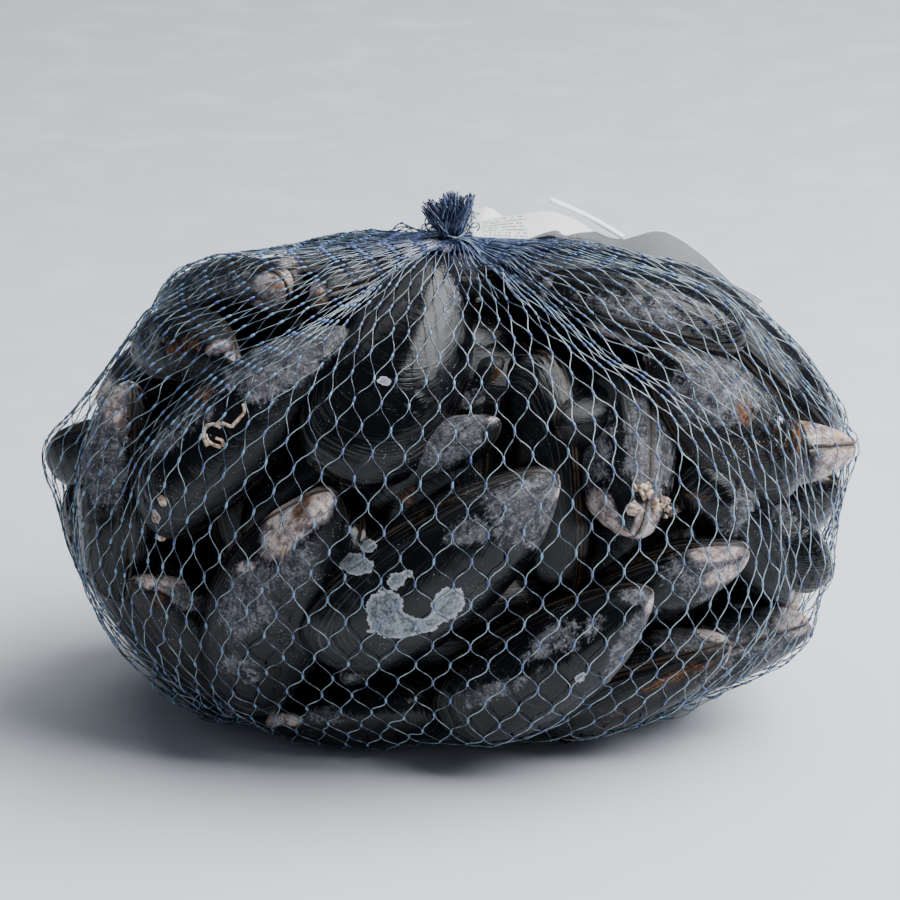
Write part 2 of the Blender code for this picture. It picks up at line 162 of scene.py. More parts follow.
def mussel(beak, tip, height, roll):
    """A mussel's place: beak, length, height share, and its three axes."""
    length = np.linalg.norm(tip - beak)
    axis = (tip - beak) / length
    out = outward((beak + tip) / 2)
    out = unit(out - axis * (out @ axis))
    turn = math.radians(roll)
    thick = out * math.cos(turn) + np.cross(out, axis) * math.sin(turn)
    return {"beak": beak, "length": length, "height": height,
            "axis": axis, "back": np.cross(thick, axis), "thick": thick}


def front_mussels():
    placed = []
    for _, beak, tip, height, roll, beak_depth, tip_depth, _ in FRONT_MUSSELS:
        start = front_point(*beak, beak_depth)
        placed.append(mussel(start, front_point(*tip, tip_depth), height, roll))
    return placed


def balls(placed):
    """Five balls along each mussel stand for it while the others settle round it."""
    centres = [m["beak"] + m["axis"] * m["length"] * BALL_SPOTS[:, None] for m in placed]
    sizes = [m["length"] * BALL_SIZES for m in placed]
    return np.concatenate(centres), np.concatenate(sizes)


def spiral(count):
    """Evenly spread directions, from the top to the bottom."""
    golden = math.pi * (3 - math.sqrt(5))
    for i in range(count):
        level = 1 - 2 * (i + 0.5) / count
        ring = math.sqrt(1 - level * level)
        yield np.array([ring * math.cos(golden * i), ring * math.sin(golden * i), level])


def first_places():
    """Evenly spread places on the sides, back, top and bottom, each with a loose direction."""
    draw = random.Random(SETTLE_SEED)
    loose = []
    for way in spiral(PLACES_TRIED):
        spot = way * HALF / bag_size(way * HALF)
        out = outward(spot)
        if out @ VIEW_IN < FACES_FRONT:
            continue
        length = draw.uniform(SHORTEST, LONGEST)
        axis = np.array([draw.gauss(0, 1), draw.gauss(0, 1), draw.gauss(0, 0.6)])
        axis = unit(axis - out * (axis @ out))
        roll = draw.choice((0, 180, 90)) + draw.uniform(-ROLL_SPREAD, ROLL_SPREAD)
        beak = spot * PLACE_DEPTH - axis * length / 2
        loose.append({"beak": beak, "length": length, "axis": axis, "roll": roll,
                      "height": draw.uniform(FLATTEST, TALLEST)})
    return loose


def push_apart(centres, sizes, others, other_sizes, share):
    """How far each ball has to move to clear the other balls."""
    away = centres[:, None] - others[None]
    far = np.linalg.norm(away, axis=2) + 1e-9
    lap = np.maximum(sizes[:, None] + other_sizes[None] - far, 0)
    return away / far[..., None] * lap[..., None] * share


def settle(loose, fixed):
    """Slides and turns the loose mussels until they lie side by side against the net."""
    fixed_centres, fixed_sizes = balls(fixed)
    count = len(BALL_SPOTS)
    owner = np.repeat(np.arange(len(loose)), count)
    same = owner[:, None] == owner[None]
    for _ in range(SETTLE_STEPS):
        centres, sizes = balls(loose)
        own = push_apart(centres, sizes, centres, sizes, SHARE_LOOSE)
        own[same] = 0
        push = own.sum(axis=1)
        fixed_push = push_apart(centres, sizes, fixed_centres, fixed_sizes, SHARE_FIXED)
        push += fixed_push.sum(axis=1)
        reach = np.linalg.norm(centres, axis=1)
        room = reach * (1 / bag_size(centres) - 1) - sizes
        drift = np.where(room < 0, room * PULL_IN, np.minimum(room, PUSH_OUT_REACH) * PUSH_OUT)
        push += outward(centres) * drift[:, None]
        for k, body in enumerate(loose):
            mine = slice(k * count, (k + 1) * count)
            middle = body["beak"] + body["axis"] * body["length"] / 2
            arm = centres[mine] - middle
            spin = np.cross(arm, push[mine]).sum(axis=0) / (arm ** 2).sum() * TURN_RATE
            body["axis"] = unit(body["axis"] + np.cross(spin, body["axis"]))
            middle = middle + push[mine].mean(axis=0) * SLIDE_RATE
            body["beak"] = middle - body["axis"] * body["length"] / 2
    return [mussel(b["beak"], b["beak"] + b["axis"] * b["length"], b["height"], b["roll"])
            for b in loose]


def swell(t, rise, fall):
    """A curve from 0 at the beak through 1 to 0 at the tip."""
    peak = rise / (rise + fall)
    return t ** rise * (1 - t) ** fall / (peak ** rise * (1 - peak) ** fall)


# The shells' grids: how fine each group is, and the seam and ridges of one shell.
FRONT_RINGS = 92
FRONT_SIDES = 56
LOOSE_RINGS = 52
LOOSE_SIDES = 36
INNER_RINGS = 26
INNER_SIDES = 24
SEAM_CROWDING = 0.55
SEAM_DEPTH = 0.00042
SEAM_WIDTH = 0.00050
BEAK_HOOK = 0.035
RIDGES = 7
LUMP_WAVES = 5

# Mussels deeper in the heap, and a black middle, painted shade, that closes the view through it.
INNER_PLACES = 34
INNER_DEPTH = 0.60
INNER_HEIGHT = 0.46
INNER_SEED = 21
MIDDLE_SHARE = 0.64
FLOOR_GAP = 0.0009

# Patches on the front mussels, by kind: bare shell, grey wear, rust-coloured skin and white
# lime. Each has its middle in the 900 pixel frame, its half width and half height in pixels,
# its turn in degrees and its strength.
PATCHES = {
    "left_upright": [
        ("bare", 112, 398, 16, 26, 0, 0.72), ("grey", 104, 450, 24, 60, 0, 1.0),
        ("rust", 122, 428, 5, 16, 0, 0.8),
    ],
    "left_patch": [
        ("rust", 182, 345, 20, 11, 10, 1.0), ("bare", 218, 347, 15, 7, 25, 0.52),
        ("rust", 205, 347, 12, 7, 20, 0.6), ("grey", 150, 340, 20, 22, 0, 0.6),
    ],
    "top_left_edge": [
        ("bare", 268, 281, 21, 8, 20, 0.85), ("bare", 267, 306, 19, 7, -15, 0.70),
        ("grey", 232, 284, 40, 16, 0, 0.8), ("rust", 240, 298, 16, 4, 0, 0.7),
    ],
    "big_grey_left": [
        ("grey", 288, 352, 62, 30, 38, 1.15), ("grey", 180, 430, 40, 14, 40, 0.7),
        ("rust", 205, 392, 15, 10, 30, 0.8), ("lime", 163, 500, 5, 4, 40, 0.9),
        ("lime", 156, 517, 4, 8, 20, 0.8),
    ],
    "big_top": [
        ("grey", 450, 300, 14, 26, -15, 0.6), ("lime", 383, 380, 6, 5, 0, 0.8),
        ("rust", 398, 300, 5, 16, -20, 0.5),
    ],
    "pale_streak": [
        ("grey", 448, 436, 46, 24, 28, 1.1),
    ],
    "orange_patch": [
        ("rust", 499, 378, 8, 11, 0, 1.1), ("grey", 470, 400, 20, 10, 20, 0.7),
    ],
    "centre_edge": [
        ("grey", 586, 440, 26, 56, 0, 0.9), ("grey", 652, 440, 24, 60, 0, 1.1),
        ("bare", 604, 515, 12, 27, 22, 1.05), ("bare", 646, 522, 10, 24, -22, 1.0),
        ("rust", 602, 532, 5, 5, 0, 0.8), ("rust", 598, 420, 5, 30, 12, 0.6),
    ],
    "right_beak": [
        ("bare", 717, 553, 28, 8, 4, 1.1), ("bare", 722, 575, 24, 8, 22, 0.8),
        ("grey", 700, 572, 40, 24, 8, 0.9),
    ],
    "big_centre": [
        ("grey", 526, 508, 42, 30, 20, 1.1), ("grey", 470, 530, 30, 16, 20, 0.8),
        ("grey", 545, 540, 16, 24, 30, 0.9), ("lime", 385, 612, 19, 22, 0, 1.05),
        ("lime", 402, 628, 34, 9, 6, 1.0), ("lime", 448, 604, 14, 18, -30, 1.0),
        ("lime", 430, 622, 16, 8, 25, 0.95), ("lime", 356, 564, 17, 10, -10, 1.0),
        ("lime", 398, 580, 12, 9, 10, 0.85), ("lime", 369, 546, 9, 7, 10, 0.8),
        ("lime", 411, 573, 5, 4, 0, 0.8),
    ],
    "lower_centre": [
        ("grey", 630, 640, 46, 11, 58, 1.0), ("grey", 560, 640, 60, 16, 25, 0.7),
        ("grey", 640, 598, 20, 9, -10, 0.9), ("grey", 500, 690, 50, 12, 25, 0.7),
        ("lime", 580, 677, 7, 6, 40, 0.8),
    ],
    "lower_right": [
        ("bare", 712, 634, 16, 7, -20, 1.0), ("grey", 685, 640, 40, 12, 0, 1.1),
        ("rust", 676, 676, 46, 8, 24, 0.8),
    ],
    "right_base": [
        ("bare", 793, 620, 17, 15, 20, 0.95), ("grey", 750, 632, 50, 26, 15, 1.1),
    ],
    "right_black": [
        ("grey", 790, 520, 10, 30, -20, 0.4),
    ],
    "right_streaked": [
        ("grey", 735, 520, 14, 50, -30, 0.7), ("rust", 700, 498, 18, 5, -12, 0.8),
    ],
    "right_brown": [
        ("grey", 712, 392, 40, 40, -35, 1.0), ("rust", 744, 412, 9, 18, 10, 1.05),
        ("rust", 722, 436, 20, 5, -30, 0.6), ("rust", 797, 436, 6, 18, 0, 1.0),
        ("lime", 780, 420, 6, 6, 0, 0.6),
    ],
    "top_right": [
        ("grey", 640, 312, 64, 18, -14, 0.75), ("bare", 616, 336, 34, 4, -22, 0.6),
    ],
    "far_right_edge": [
        ("bare", 824, 430, 34, 16, -8, 1.05), ("bare", 836, 475, 18, 40, 0, 1.0),
        ("rust", 806, 425, 6, 8, 0, 0.8),
    ],
    "lower_left_edge": [
        ("bare", 172, 578, 16, 9, 0, 0.8), ("grey", 188, 600, 30, 12, -40, 0.8),
        ("rust", 158, 600, 8, 14, -20, 0.8),
    ],
    "left_centre": [
        ("bare", 291, 518, 19, 42, -32, 0.95), ("grey", 300, 560, 22, 30, -30, 0.6),
        ("rust", 302, 506, 8, 20, -25, 1.1), ("bare", 246, 567, 9, 6, 10, 0.9),
        ("grey", 246, 600, 26, 44, -20, 0.85), ("grey", 240, 670, 26, 20, -20, 0.6),
    ],
    "bottom_left": [
        ("bare", 284, 720, 16, 6, 0, 1.0), ("grey", 330, 715, 26, 10, 0, 0.7),
    ],
    "small_low": [
        ("grey", 342, 676, 16, 12, 0, 0.8),
    ],
    "top_left_pale": [
        ("bare", 312, 296, 15, 15, 0, 0.75), ("rust", 318, 288, 6, 6, 0, 0.5),
    ],
    "top_right_back": [
        ("grey", 600, 270, 60, 12, -8, 0.4),
    ],
}
PATCH_KINDS = ("bare", "grey", "rust", "lime")
FRAME_SIZE = 900


def frame_place(points):
    """Where points stand in the camera's frame, in pixels from its left and from its top."""
    seen = points - CENTRE - VIEW_EYE
    scale = FRAME_SIZE * VIEW_AWAY / VIEW_WIDTH / (seen @ VIEW_IN)
    across = FRAME_SIZE / 2 + scale * (seen @ VIEW_RIGHT)
    down = FRAME_SIZE / 2 - scale * (seen @ VIEW_UP)
    return across, down


def profile(t, height):
    """How far a mussel of length 1 reaches to its back and to its belly."""
    return (height * BACK_SHARE * swell(t, *BACK_CURVE),
            height * (1 - BACK_SHARE) * swell(t, *BELLY_CURVE))


def outline_reach(height):
    """How far a mussel of length 1 reaches from its beak to its margin, by angle."""
    t = np.linspace(0.0008, 1.0, 500)
    back, belly = profile(t, height)
    angles = np.concatenate([np.arctan2(-belly, t), np.arctan2(back, t)[::-1][1:]])
    reach = np.concatenate([np.hypot(t, belly), np.hypot(t, back)[::-1][1:]])
    return angles, reach


def shell_relief(points, grow, draw):
    """Growth ridges, soft lumps and fine growth lines, in metres along the surface's normal."""
    lift = np.zeros(points.shape[:2])
    for _ in range(RIDGES):
        spot = draw.uniform(0.30, 0.97)
        deep = draw.uniform(0.00012, 0.00034)
        width = draw.uniform(0.006, 0.014)
        wobble = 0.012 * np.sin(points[..., 1] * draw.uniform(20, 40) + draw.uniform(0, 6))
        lift -= deep * np.exp(-((grow + wobble - spot) / width) ** 2)
    for _ in range(LUMP_WAVES):
        wave = np.array([draw.uniform(-14, 14), draw.uniform(-22, 22), draw.uniform(-22, 22)])
        lift += 0.00012 * np.sin(points @ wave + draw.uniform(0, 6.28))
    fine = draw.uniform(30, 40)
    lift += 0.00006 * np.sin(2 * np.pi * fine * grow + 2 * np.sin(9 * points[..., 1]))
    return lift


def quads_between(index, after):
    """Faces between the rows of a grid of points, each point with the one after it."""
    return np.stack([index[:-1], after[:-1], after[1:], index[1:]], axis=-1).reshape(-1, 4)


def grid_normals(points):
    along = np.gradient(points, axis=0)
    around = (np.roll(points, -1, axis=1) - np.roll(points, 1, axis=1)) / 2
    normal = units(np.cross(around, along))
    middle = points.shape[0] // 2
    quarter = points.shape[1] // 4
    if normal[middle, quarter, 2] * points[middle, quarter, 2] < 0:
        normal = -normal
    return normal


def loose_patches(along, rise, mark, draw):
    """Wear of a mussel that no photograph shows closely."""
    grey = np.zeros_like(along)
    for _ in range(3):
        spot = (draw.uniform(0.1, 0.9), draw.uniform(-0.15, 0.25))
        size = (draw.uniform(0.10, 0.28), draw.uniform(0.05, 0.14))
        far = ((along - spot[0]) / size[0]) ** 2 + ((rise - spot[1]) / size[1]) ** 2
        grey = np.maximum(grey, np.exp(-far) * (0.15 + 1.2 * mark["tint"]))
    rust = np.zeros_like(along)
    if draw.random() < 0.35:
        far = ((along - draw.uniform(0.3, 0.9)) / 0.12) ** 2 + ((rise - 0.1) / 0.06) ** 2
        rust = np.exp(-far)
    return {"grey": grey, "rust": rust, "lime": np.zeros_like(along)}


def front_patches(world, normals, name):
    """The patches that the front mussel shows, on the side that faces the camera."""
    across, down = frame_place(world)
    faces = (normals * (CENTRE + VIEW_EYE - world)).sum(axis=-1) > 0
    found = {kind: np.zeros(len(world)) for kind in PATCH_KINDS}
    for kind, middle_x, middle_y, wide, high, turn, strength in PATCHES.get(name, []):
        tilt = math.radians(turn)
        dx = across - middle_x
        dy = middle_y - down
        along = (dx * math.cos(tilt) + dy * math.sin(tilt)) / wide
        side = (dy * math.cos(tilt) - dx * math.sin(tilt)) / high
        value = strength * np.clip(1.5 - np.hypot(along, side), 0, 1) * faces
        found[kind] = np.maximum(found[kind], value)
    return found


def smooth_form(height, rings, sides):
    """One mussel's smooth form along its own axes, in shares of its length, and its growth."""
    t = (0.5 - 0.5 * np.cos(np.pi * (np.arange(rings) + 0.6) / (rings + 0.2)))[:, None]
    u = 2 * np.pi * np.arange(sides) / sides
    a = (u - SEAM_CROWDING * np.sin(2 * u) / 2)[None]
    back, belly = profile(t, height)
    half = SHELL_THICK / 2 * swell(t, *THICK_CURVE)
    edge = EDGE_SHARPNESS + EDGE_KEEL * np.cos(a)
    x = t + 0 * a
    y = (back - belly) / 2 + (back + belly) / 2 * np.cos(a)
    z = half * np.sign(np.sin(a)) * np.abs(np.sin(a)) ** edge
    angles, reach = outline_reach(height)
    grow = np.clip(np.hypot(x, y) / np.interp(np.arctan2(y, x), angles, reach), 0, 1)
    y = y - BEAK_HOOK * (1 - t) ** 3 + TIP_RISE * t ** 4
    return np.stack([x, y, z], axis=-1), grow


def closed_faces(rings, sides, mirrored):
    """Faces of rings of points, and those that close both ends with one more point each."""
    index = np.arange(rings * sides).reshape(rings, sides)
    after = np.roll(index, -1, axis=1)
    quads = quads_between(index, after)
    first = np.full(sides, rings * sides)
    last = first + 1
    caps = np.concatenate([np.stack([first, after[0], index[0]], axis=-1),
                           np.stack([last, index[-1], after[-1]], axis=-1)])
    if mirrored:
        return quads[:, ::-1], caps[:, ::-1]
    return quads, caps


def shell_places(form, grow, length):
    """Where each point lies on the shell: its growth, its place, and its mm from the seam."""
    x, y, z = np.moveaxis(form, -1, 0)
    return {
        "grow": np.append(grow, [0.0, 1.0]),
        "along": np.append(x, [0.0, 1.0]),
        "rise": np.append(y, [0.0, 0.0]),
        "seam": np.append(np.abs(z) * length / MM, [0.0, 0.0]),
    }


def shell_wear(places, world, normals, mark, draw):
    """The shell's patches by kind, with its worn beak."""
    worn = max(mark["worn"], 0.01)
    beak_wear = 1.3 - np.hypot(places["along"] / worn, places["rise"] / (0.45 * worn + 0.02))
    if "name" in mark:
        found = front_patches(world, normals, mark["name"])
    else:
        found = loose_patches(places["along"], places["rise"], mark, draw)
        found["bare"] = np.zeros(len(world))
    found["bare"] = np.maximum(found["bare"], np.clip(beak_wear, 0, 1))
    return found


def shell_grid(place, rings, sides, mark):
    """One mussel's points, faces and paint attributes."""
    draw = random.Random(mark["seed"])
    length = place["length"]
    form, grow = smooth_form(place["height"], rings, sides)
    normal = grid_normals(form)
    lift = shell_relief(form, grow, draw)
    lift -= SEAM_DEPTH * np.exp(-(np.abs(form[..., 2]) * length / SEAM_WIDTH) ** 2)
    points = form + normal * (lift / length)[..., None]
    ends = np.array([[0.0, -BEAK_HOOK, 0.0], [1.0, TIP_RISE, 0.0]])
    flat = np.concatenate([points.reshape(-1, 3), ends])
    flat_normals = np.concatenate([normal.reshape(-1, 3), [[-1.0, 0.0, 0.0], [1.0, 0.0, 0.0]]])
    axes = np.stack([place["axis"], place["back"], place["thick"]])
    world = place["beak"] + length * flat @ axes + CENTRE
    quads, caps = closed_faces(rings, sides, np.linalg.det(axes) < 0)
    values = shell_places(form, grow, length)
    values.update(shell_wear(values, world, flat_normals @ axes, mark, draw))
    for key in ("tint", "brown", "gloss"):
        values[key] = np.full(len(world), mark[key])
    values["seed"] = np.full(len(world), (mark["seed"] * 0.6180339) % 1)
    return world, quads, caps, values


def join_grids(grids):
    """Joins many grids into one set of points, faces and attributes."""
    points = []
    faces = []
    values = {}
    start = 0
    for world, quads, caps, per_point in grids:
        points.append(world)
        faces += (quads + start).tolist()
        faces += (caps + start).tolist()
        for name, value in per_point.items():
            values.setdefault(name, []).append(value)
        start += len(world)
    joined = {name: np.concatenate(parts) for name, parts in values.items()}
    return np.concatenate(points), faces, joined


def link(name, data):
    """Puts a new object in the scene."""
    made = bpy.data.objects.new(name, data)
    bpy.context.scene.collection.objects.link(made)
    return made


def make_piece(name, slot, node, finish, points, faces, values=None):
    """A smooth piece from arrays, on the part's only body, in place of a node of the solids."""
    mesh = bpy.data.meshes.new(name)
    mesh.from_pydata(np.asarray(points).tolist(), [], faces)
    for key, value in (values or {}).items():
        layer = mesh.attributes.new(key, "FLOAT", "POINT")
        layer.data.foreach_set("value", np.asarray(value, dtype=np.float32))
    mesh.materials.append(finish)
    mesh.shade_smooth()
    mesh.update()
    piece = link(name, mesh)
    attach(piece, "root")
    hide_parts(node)
    return piece


def make_mark(seed, tint=0.2, worn=0.1, brown=0.3, gloss=0.8):
    return {"seed": seed, "tint": tint, "worn": worn, "brown": brown, "gloss": gloss}


def front_marks():
    marks = []
    for i, (name, *_, looks) in enumerate(FRONT_MUSSELS):
        marks.append({"name": name, **make_mark(11 + i, *looks)})
    return marks


def loose_marks(count, first_seed, wear=1.0):
    draw = random.Random(first_seed)
    marks = []
    for i in range(count):
        tint = wear * draw.uniform(0.0, 0.30)
        worn = wear * draw.uniform(0.02, 0.13)
        marks.append(make_mark(first_seed + i, tint, worn, draw.uniform(0.2, 0.9),
                               draw.uniform(0.6, 1.0)))
    return marks


def inner_mussels():
    """Mussels deeper in the heap, seen dark through the gaps."""
    draw = random.Random(INNER_SEED)
    placed = []
    for way in spiral(INNER_PLACES):
        spot = way * HALF / bag_size(way * HALF) * INNER_DEPTH
        axis = np.array([draw.gauss(0, 1), draw.gauss(0, 1), draw.gauss(0, 1)])
        axis = unit(axis - way * (axis @ way) * 0.8)
        length = draw.uniform(SHORTEST, LONGEST)
        beak = spot - axis * length / 2
        placed.append(mussel(beak, beak + axis * length, INNER_HEIGHT, draw.uniform(0, 180)))
    return placed


def lift_to_floor(places):
    """Raises a mussel that would reach under the net on the floor."""
    for place in places:
        low = shell_grid(place, 20, 16, make_mark(1))[0][:, 2].min()
        if low < FLOOR_GAP:
            place["beak"] = place["beak"] + np.array([0.0, 0.0, FLOOR_GAP - low])


def shells_to_meet(places, rings, sides):
    """The shells in a form in which a line finds where it meets them."""
    grids = [shell_grid(place, rings, sides, make_mark(1)) for place in places]
    points, faces, _ = join_grids(grids)
    return BVHTree.FromPolygons(points.tolist(), faces)


# Mussels that the net pulls in further: how many mm to the right.
FRONT_PULLED_IN = {"right_brown": -4.5}
PULLED_IN = {8: 7.0, 12: 5.5}

front_places = front_mussels()
loose_places = settle(first_places(), front_places)
for entry, place in zip(FRONT_MUSSELS, front_places):
    place["beak"] = place["beak"] + FRONT_PULLED_IN.get(entry[0], 0.0) * MM * VIEW_RIGHT
for number, shift in PULLED_IN.items():
    loose_places[number]["beak"] = loose_places[number]["beak"] + shift * MM * VIEW_RIGHT
inner_places = inner_mussels()
for group in (front_places, loose_places, inner_places):
    lift_to_floor(group)


class Paint:
    """Builds one material's nodes in short calls."""

    def __init__(self, name):
        self.material = bpy.data.materials.new(name)
        self.material.use_nodes = True
        self.tree = self.material.node_tree
        self.shader = self.tree.nodes["Principled BSDF"]
        self.place = self.new("TexCoord").outputs["Object"]

    def new(self, kind):
        return self.tree.nodes.new("ShaderNode" + kind)

    def put(self, socket, value):
        if isinstance(value, bpy.types.NodeSocket):
            self.tree.links.new(value, socket)
        elif isinstance(value, tuple) and len(value) == 3 and socket.type == "RGBA":
            socket.default_value = (*value, 1.0)
        else:
            socket.default_value = value

    def fill(self, node, *values):
        """Puts values in the node's first inputs and gives its result."""
        for socket, value in zip(node.inputs, values):
            self.put(socket, value)
        return node.outputs[0]

    def set(self, **values):
        for name, value in values.items():
            self.put(self.shader.inputs[name.replace("_", " ")], value)

    def attributes(self, *names):
        """What the shells or threads carry under these names."""
        found = []
        for name in names:
            node = self.new("Attribute")
            node.attribute_name = name
            found.append(node.outputs["Fac"])
        return found

    def math(self, operation, first, second=0.0, third=0.0):
        node = self.new("Math")
        node.operation = operation
        return self.fill(node, first, second, third)

    def times(self, result, *factors):
        """The product of all values."""
        for factor in factors:
            result = self.math("MULTIPLY", result, factor)
        return result

    def total(self, *terms):
        """The sum of value times weight over the terms."""
        result = 0.0
        for value, weight in terms:
            result = self.math("MULTIPLY_ADD", value, weight, result)
        return result

    def blend(self, share, first, second):
        node = self.new("Mix")
        node.data_type = "RGBA"
        self.put(node.inputs[0], share)
        self.put(node.inputs[6], first)
        self.put(node.inputs[7], second)
        return node.outputs[2]

    def step(self, value, low, high, end=1.0, start=0.0):
        node = self.new("MapRange")
        node.interpolation_type = "SMOOTHSTEP"
        return self.fill(node, value, low, high, start, end)

    def over(self, first, second, value, low, high, most=1.0):
        """A colour that gives way to a second one as the value passes from low to high."""
        return self.blend(self.step(value, low, high, most), first, second)

    def noise(self, scale, detail=4.0, rough=0.55, vector=None, shift=0.0):
        """Noise around 0, mostly within 0.25 of it."""
        node = self.new("TexNoise")
        node.noise_dimensions = "4D"
        self.put(node.inputs["Vector"], self.place if vector is None else vector)
        self.put(node.inputs["W"], shift)
        self.put(node.inputs["Scale"], scale)
        self.put(node.inputs["Detail"], detail)
        self.put(node.inputs["Roughness"], rough)
        return self.math("SUBTRACT", node.outputs[0], 0.5)

    def vector(self, x, y, z):
        return self.fill(self.new("CombineXYZ"), x, y, z)

    def bump(self, height, distance, strength=1.0, under=None):
        node = self.new("Bump")
        self.put(node.inputs["Height"], height)
        self.put(node.inputs["Distance"], distance)
        self.put(node.inputs["Strength"], strength)
        if under is not None:
            self.put(node.inputs["Normal"], under)
        return node.outputs[0]


def growth_noise(p, grow, rise, along, seed, across, stretch, detail=3.0):
    """Noise drawn out along the shell's growth lines."""
    vector = p.vector(p.times(grow, across), p.times(rise, stretch),
                      p.times(along, stretch * 0.6))
    return p.noise(1.0, detail, 0.6, vector=vector, shift=seed)


def shell_paint():
    """Raw mussel shell: wet black skin, grey and violet wear, bared pinkish beak, white lime."""
    p = Paint("mussel_shell")
    grow, along, rise, tint, brown, gloss, seam, chance = p.attributes(
        "grow", "along", "rise", "tint", "brown", "gloss", "seam", "seed")
    bared, worn, rusty, limed = p.attributes(*PATCH_KINDS)
    seed = p.times(chance, 40.0)
    wide = p.noise(130.0, 7.0, 0.62, shift=seed)
    middle = p.noise(420.0, 6.0, 0.68, shift=seed)
    fine = p.noise(1500.0, 4.0, 0.65, shift=seed)
    bands = growth_noise(p, grow, rise, along, seed, 24.0, 2.0, 5.0)
    lines = growth_noise(p, grow, rise, along, seed, 110.0, 5.0)
    scratch = growth_noise(p, grow, rise, along, seed, 45.0, 14.0, 6.0)

    skin = p.over((0.0016, 0.0018, 0.0026), (0.0052, 0.0058, 0.0082), wide, -0.06, 0.10)
    horn = p.over((0.008, 0.0045, 0.0025), (0.036, 0.018, 0.008), middle, -0.05, 0.10)
    skin = p.over(skin, horn, p.total((bands, 1.0), (brown, 0.20), (wide, 0.4)), 0.18, 0.32, 0.8)
    skin = p.over(skin, (0.048, 0.046, 0.046), lines, 0.09, 0.17, 0.35)

    grey_value = p.total((worn, 0.80), (tint, 0.14), (wide, 0.9), (scratch, 0.45),
                         (middle, 0.8), (fine, 0.4))
    grey_share = p.step(grey_value, 0.34, 0.62, 0.95)
    grey = p.over((0.020, 0.021, 0.027), (0.225, 0.224, 0.240),
                  p.total((scratch, 0.5), (middle, 1.0), (fine, 0.7)), -0.14, 0.22)
    grey = p.over(grey, (0.090, 0.078, 0.098), wide, 0.00, 0.12, 0.5)
    grey = p.over(grey, (0.022, 0.022, 0.028), lines, 0.05, 0.14, 0.6)
    grey = p.over(grey, (0.46, 0.46, 0.48), fine, 0.10, 0.17, 0.8)
    colour = p.blend(grey_share, skin, grey)

    bare_value = p.total((bared, 1.0), (middle, 1.0), (wide, 0.6), (scratch, 0.7))
    bare_share = p.step(bare_value, 0.36, 0.68)
    bare = p.over((0.17, 0.115, 0.10), (0.72, 0.63, 0.59),
                  p.total((middle, 1.0), (fine, 0.6), (wide, 0.5)), -0.15, 0.13)
    bare = p.over(bare, (0.20, 0.15, 0.17), lines, 0.02, 0.12, 0.7)
    bare = p.over(bare, (0.52, 0.27, 0.12), wide, 0.06, 0.14, 0.7)
    fringe = p.times(p.step(bare_value, 0.18, 0.40, 0.75), p.step(bared, 0.02, 0.3))
    colour = p.blend(fringe, colour, (0.150, 0.122, 0.145))
    colour = p.blend(bare_share, colour, bare)

    rust = p.over((0.042, 0.014, 0.005), (0.260, 0.100, 0.028),
                  p.total((fine, 1.0), (scratch, 0.8)), -0.10, 0.24)
    rust_value = p.total((rusty, 0.85), (middle, 1.5), (scratch, 1.3))
    colour = p.over(colour, rust, rust_value, 0.46, 0.84, 0.9)

    edge_lines = p.times(p.step(grow, 0.80, 0.93), p.step(lines, 0.03, 0.12, 0.5))
    colour = p.blend(edge_lines, colour, (0.075, 0.070, 0.066))
    lip = p.times(p.step(seam, 1.3, 0.5), p.step(grow, 0.35, 0.7),
                  p.step(p.total((middle, 1.0), (brown, 0.3)), -0.05, 0.2, 0.8))
    colour = p.blend(lip, colour, (0.055, 0.036, 0.022))
    colour = p.over(colour, (0.0030, 0.0026, 0.0026), seam, 0.42, 0.12, 0.9)

    lime_share = p.step(p.total((limed, 1.0), (middle, 1.0), (fine, 0.3)), 0.44, 0.49)
    lime_rim = p.step(p.total((limed, 1.0), (middle, 1.0)), 0.72, 0.52)
    lime = p.over((0.085, 0.100, 0.120), (0.310, 0.335, 0.365),
                  p.total((middle, 0.8), (fine, 1.0)), -0.14, 0.14)
    lime = p.blend(p.times(lime_rim, 0.7), lime, (0.56, 0.58, 0.61))
    colour = p.blend(lime_share, colour, lime)
    specks = p.noise(2600.0, 3.0, 0.6, shift=seed)
    dirt = p.step(p.total((specks, 1.0), (wide, 0.45), (tint, 0.05)), 0.195, 0.23, 0.85)
    colour = p.blend(dirt, colour, (0.42, 0.41, 0.40))

    dry = p.math("MAXIMUM", p.math("MAXIMUM", grey_share, bare_share), lime_share)
    rough = p.total((dry, 0.36), (middle, 0.22), (lines, 0.25), (dirt, 0.2))
    rough = p.math("ADD", rough, p.step(gloss, 0.4, 1.0, 0.09, 0.20))
    rough = p.math("MAXIMUM", rough, 0.06)
    margin = p.times(p.step(grow, 0.78, 0.94), lines)
    relief = p.total((lines, 0.35), (bands, 0.5), (scratch, 0.15), (margin, 0.9))
    under = p.bump(relief, 0.0012, 0.28)
    pits = p.total((p.times(dry, middle), 1.0), (p.times(dry, fine), 0.6),
                   (lime_share, 0.5), (fine, 0.05))
    p.set(Base_Color=colour, Roughness=rough, Normal=p.bump(pits, 0.0009, 0.5, under),
          Specular_IOR_Level=0.30)
    return p.material


def net_paint():
    """Thin blue-grey plastic twine, navy at the neck, with a painted highlight that makes the bars
    leaning one way brighter than the others.
    """
    p = Paint("net_twine")
    pale, deep = p.attributes("pale", "deep")
    patchy = p.noise(300.0, 3.0, 0.6)
    # Dark navy to pale blue-grey: random tone along the twine, and a painted highlight on the bars
    # that lean one way.
    shade = p.total((pale, 0.9), (patchy, 3.0))
    light = p.over((0.024, 0.042, 0.078), (0.350, 0.460, 0.515), shade, 0.05, 1.0)
    light = p.over(light, (0.110, 0.170, 0.350), patchy, 0.08, 0.20, 0.6)
    dark = p.over((0.018, 0.027, 0.078), (0.115, 0.160, 0.285), shade, 0.1, 1.0)
    p.set(Base_Color=p.blend(deep, light, dark), Roughness=0.22, Specular_IOR_Level=0.9)
    return p.material


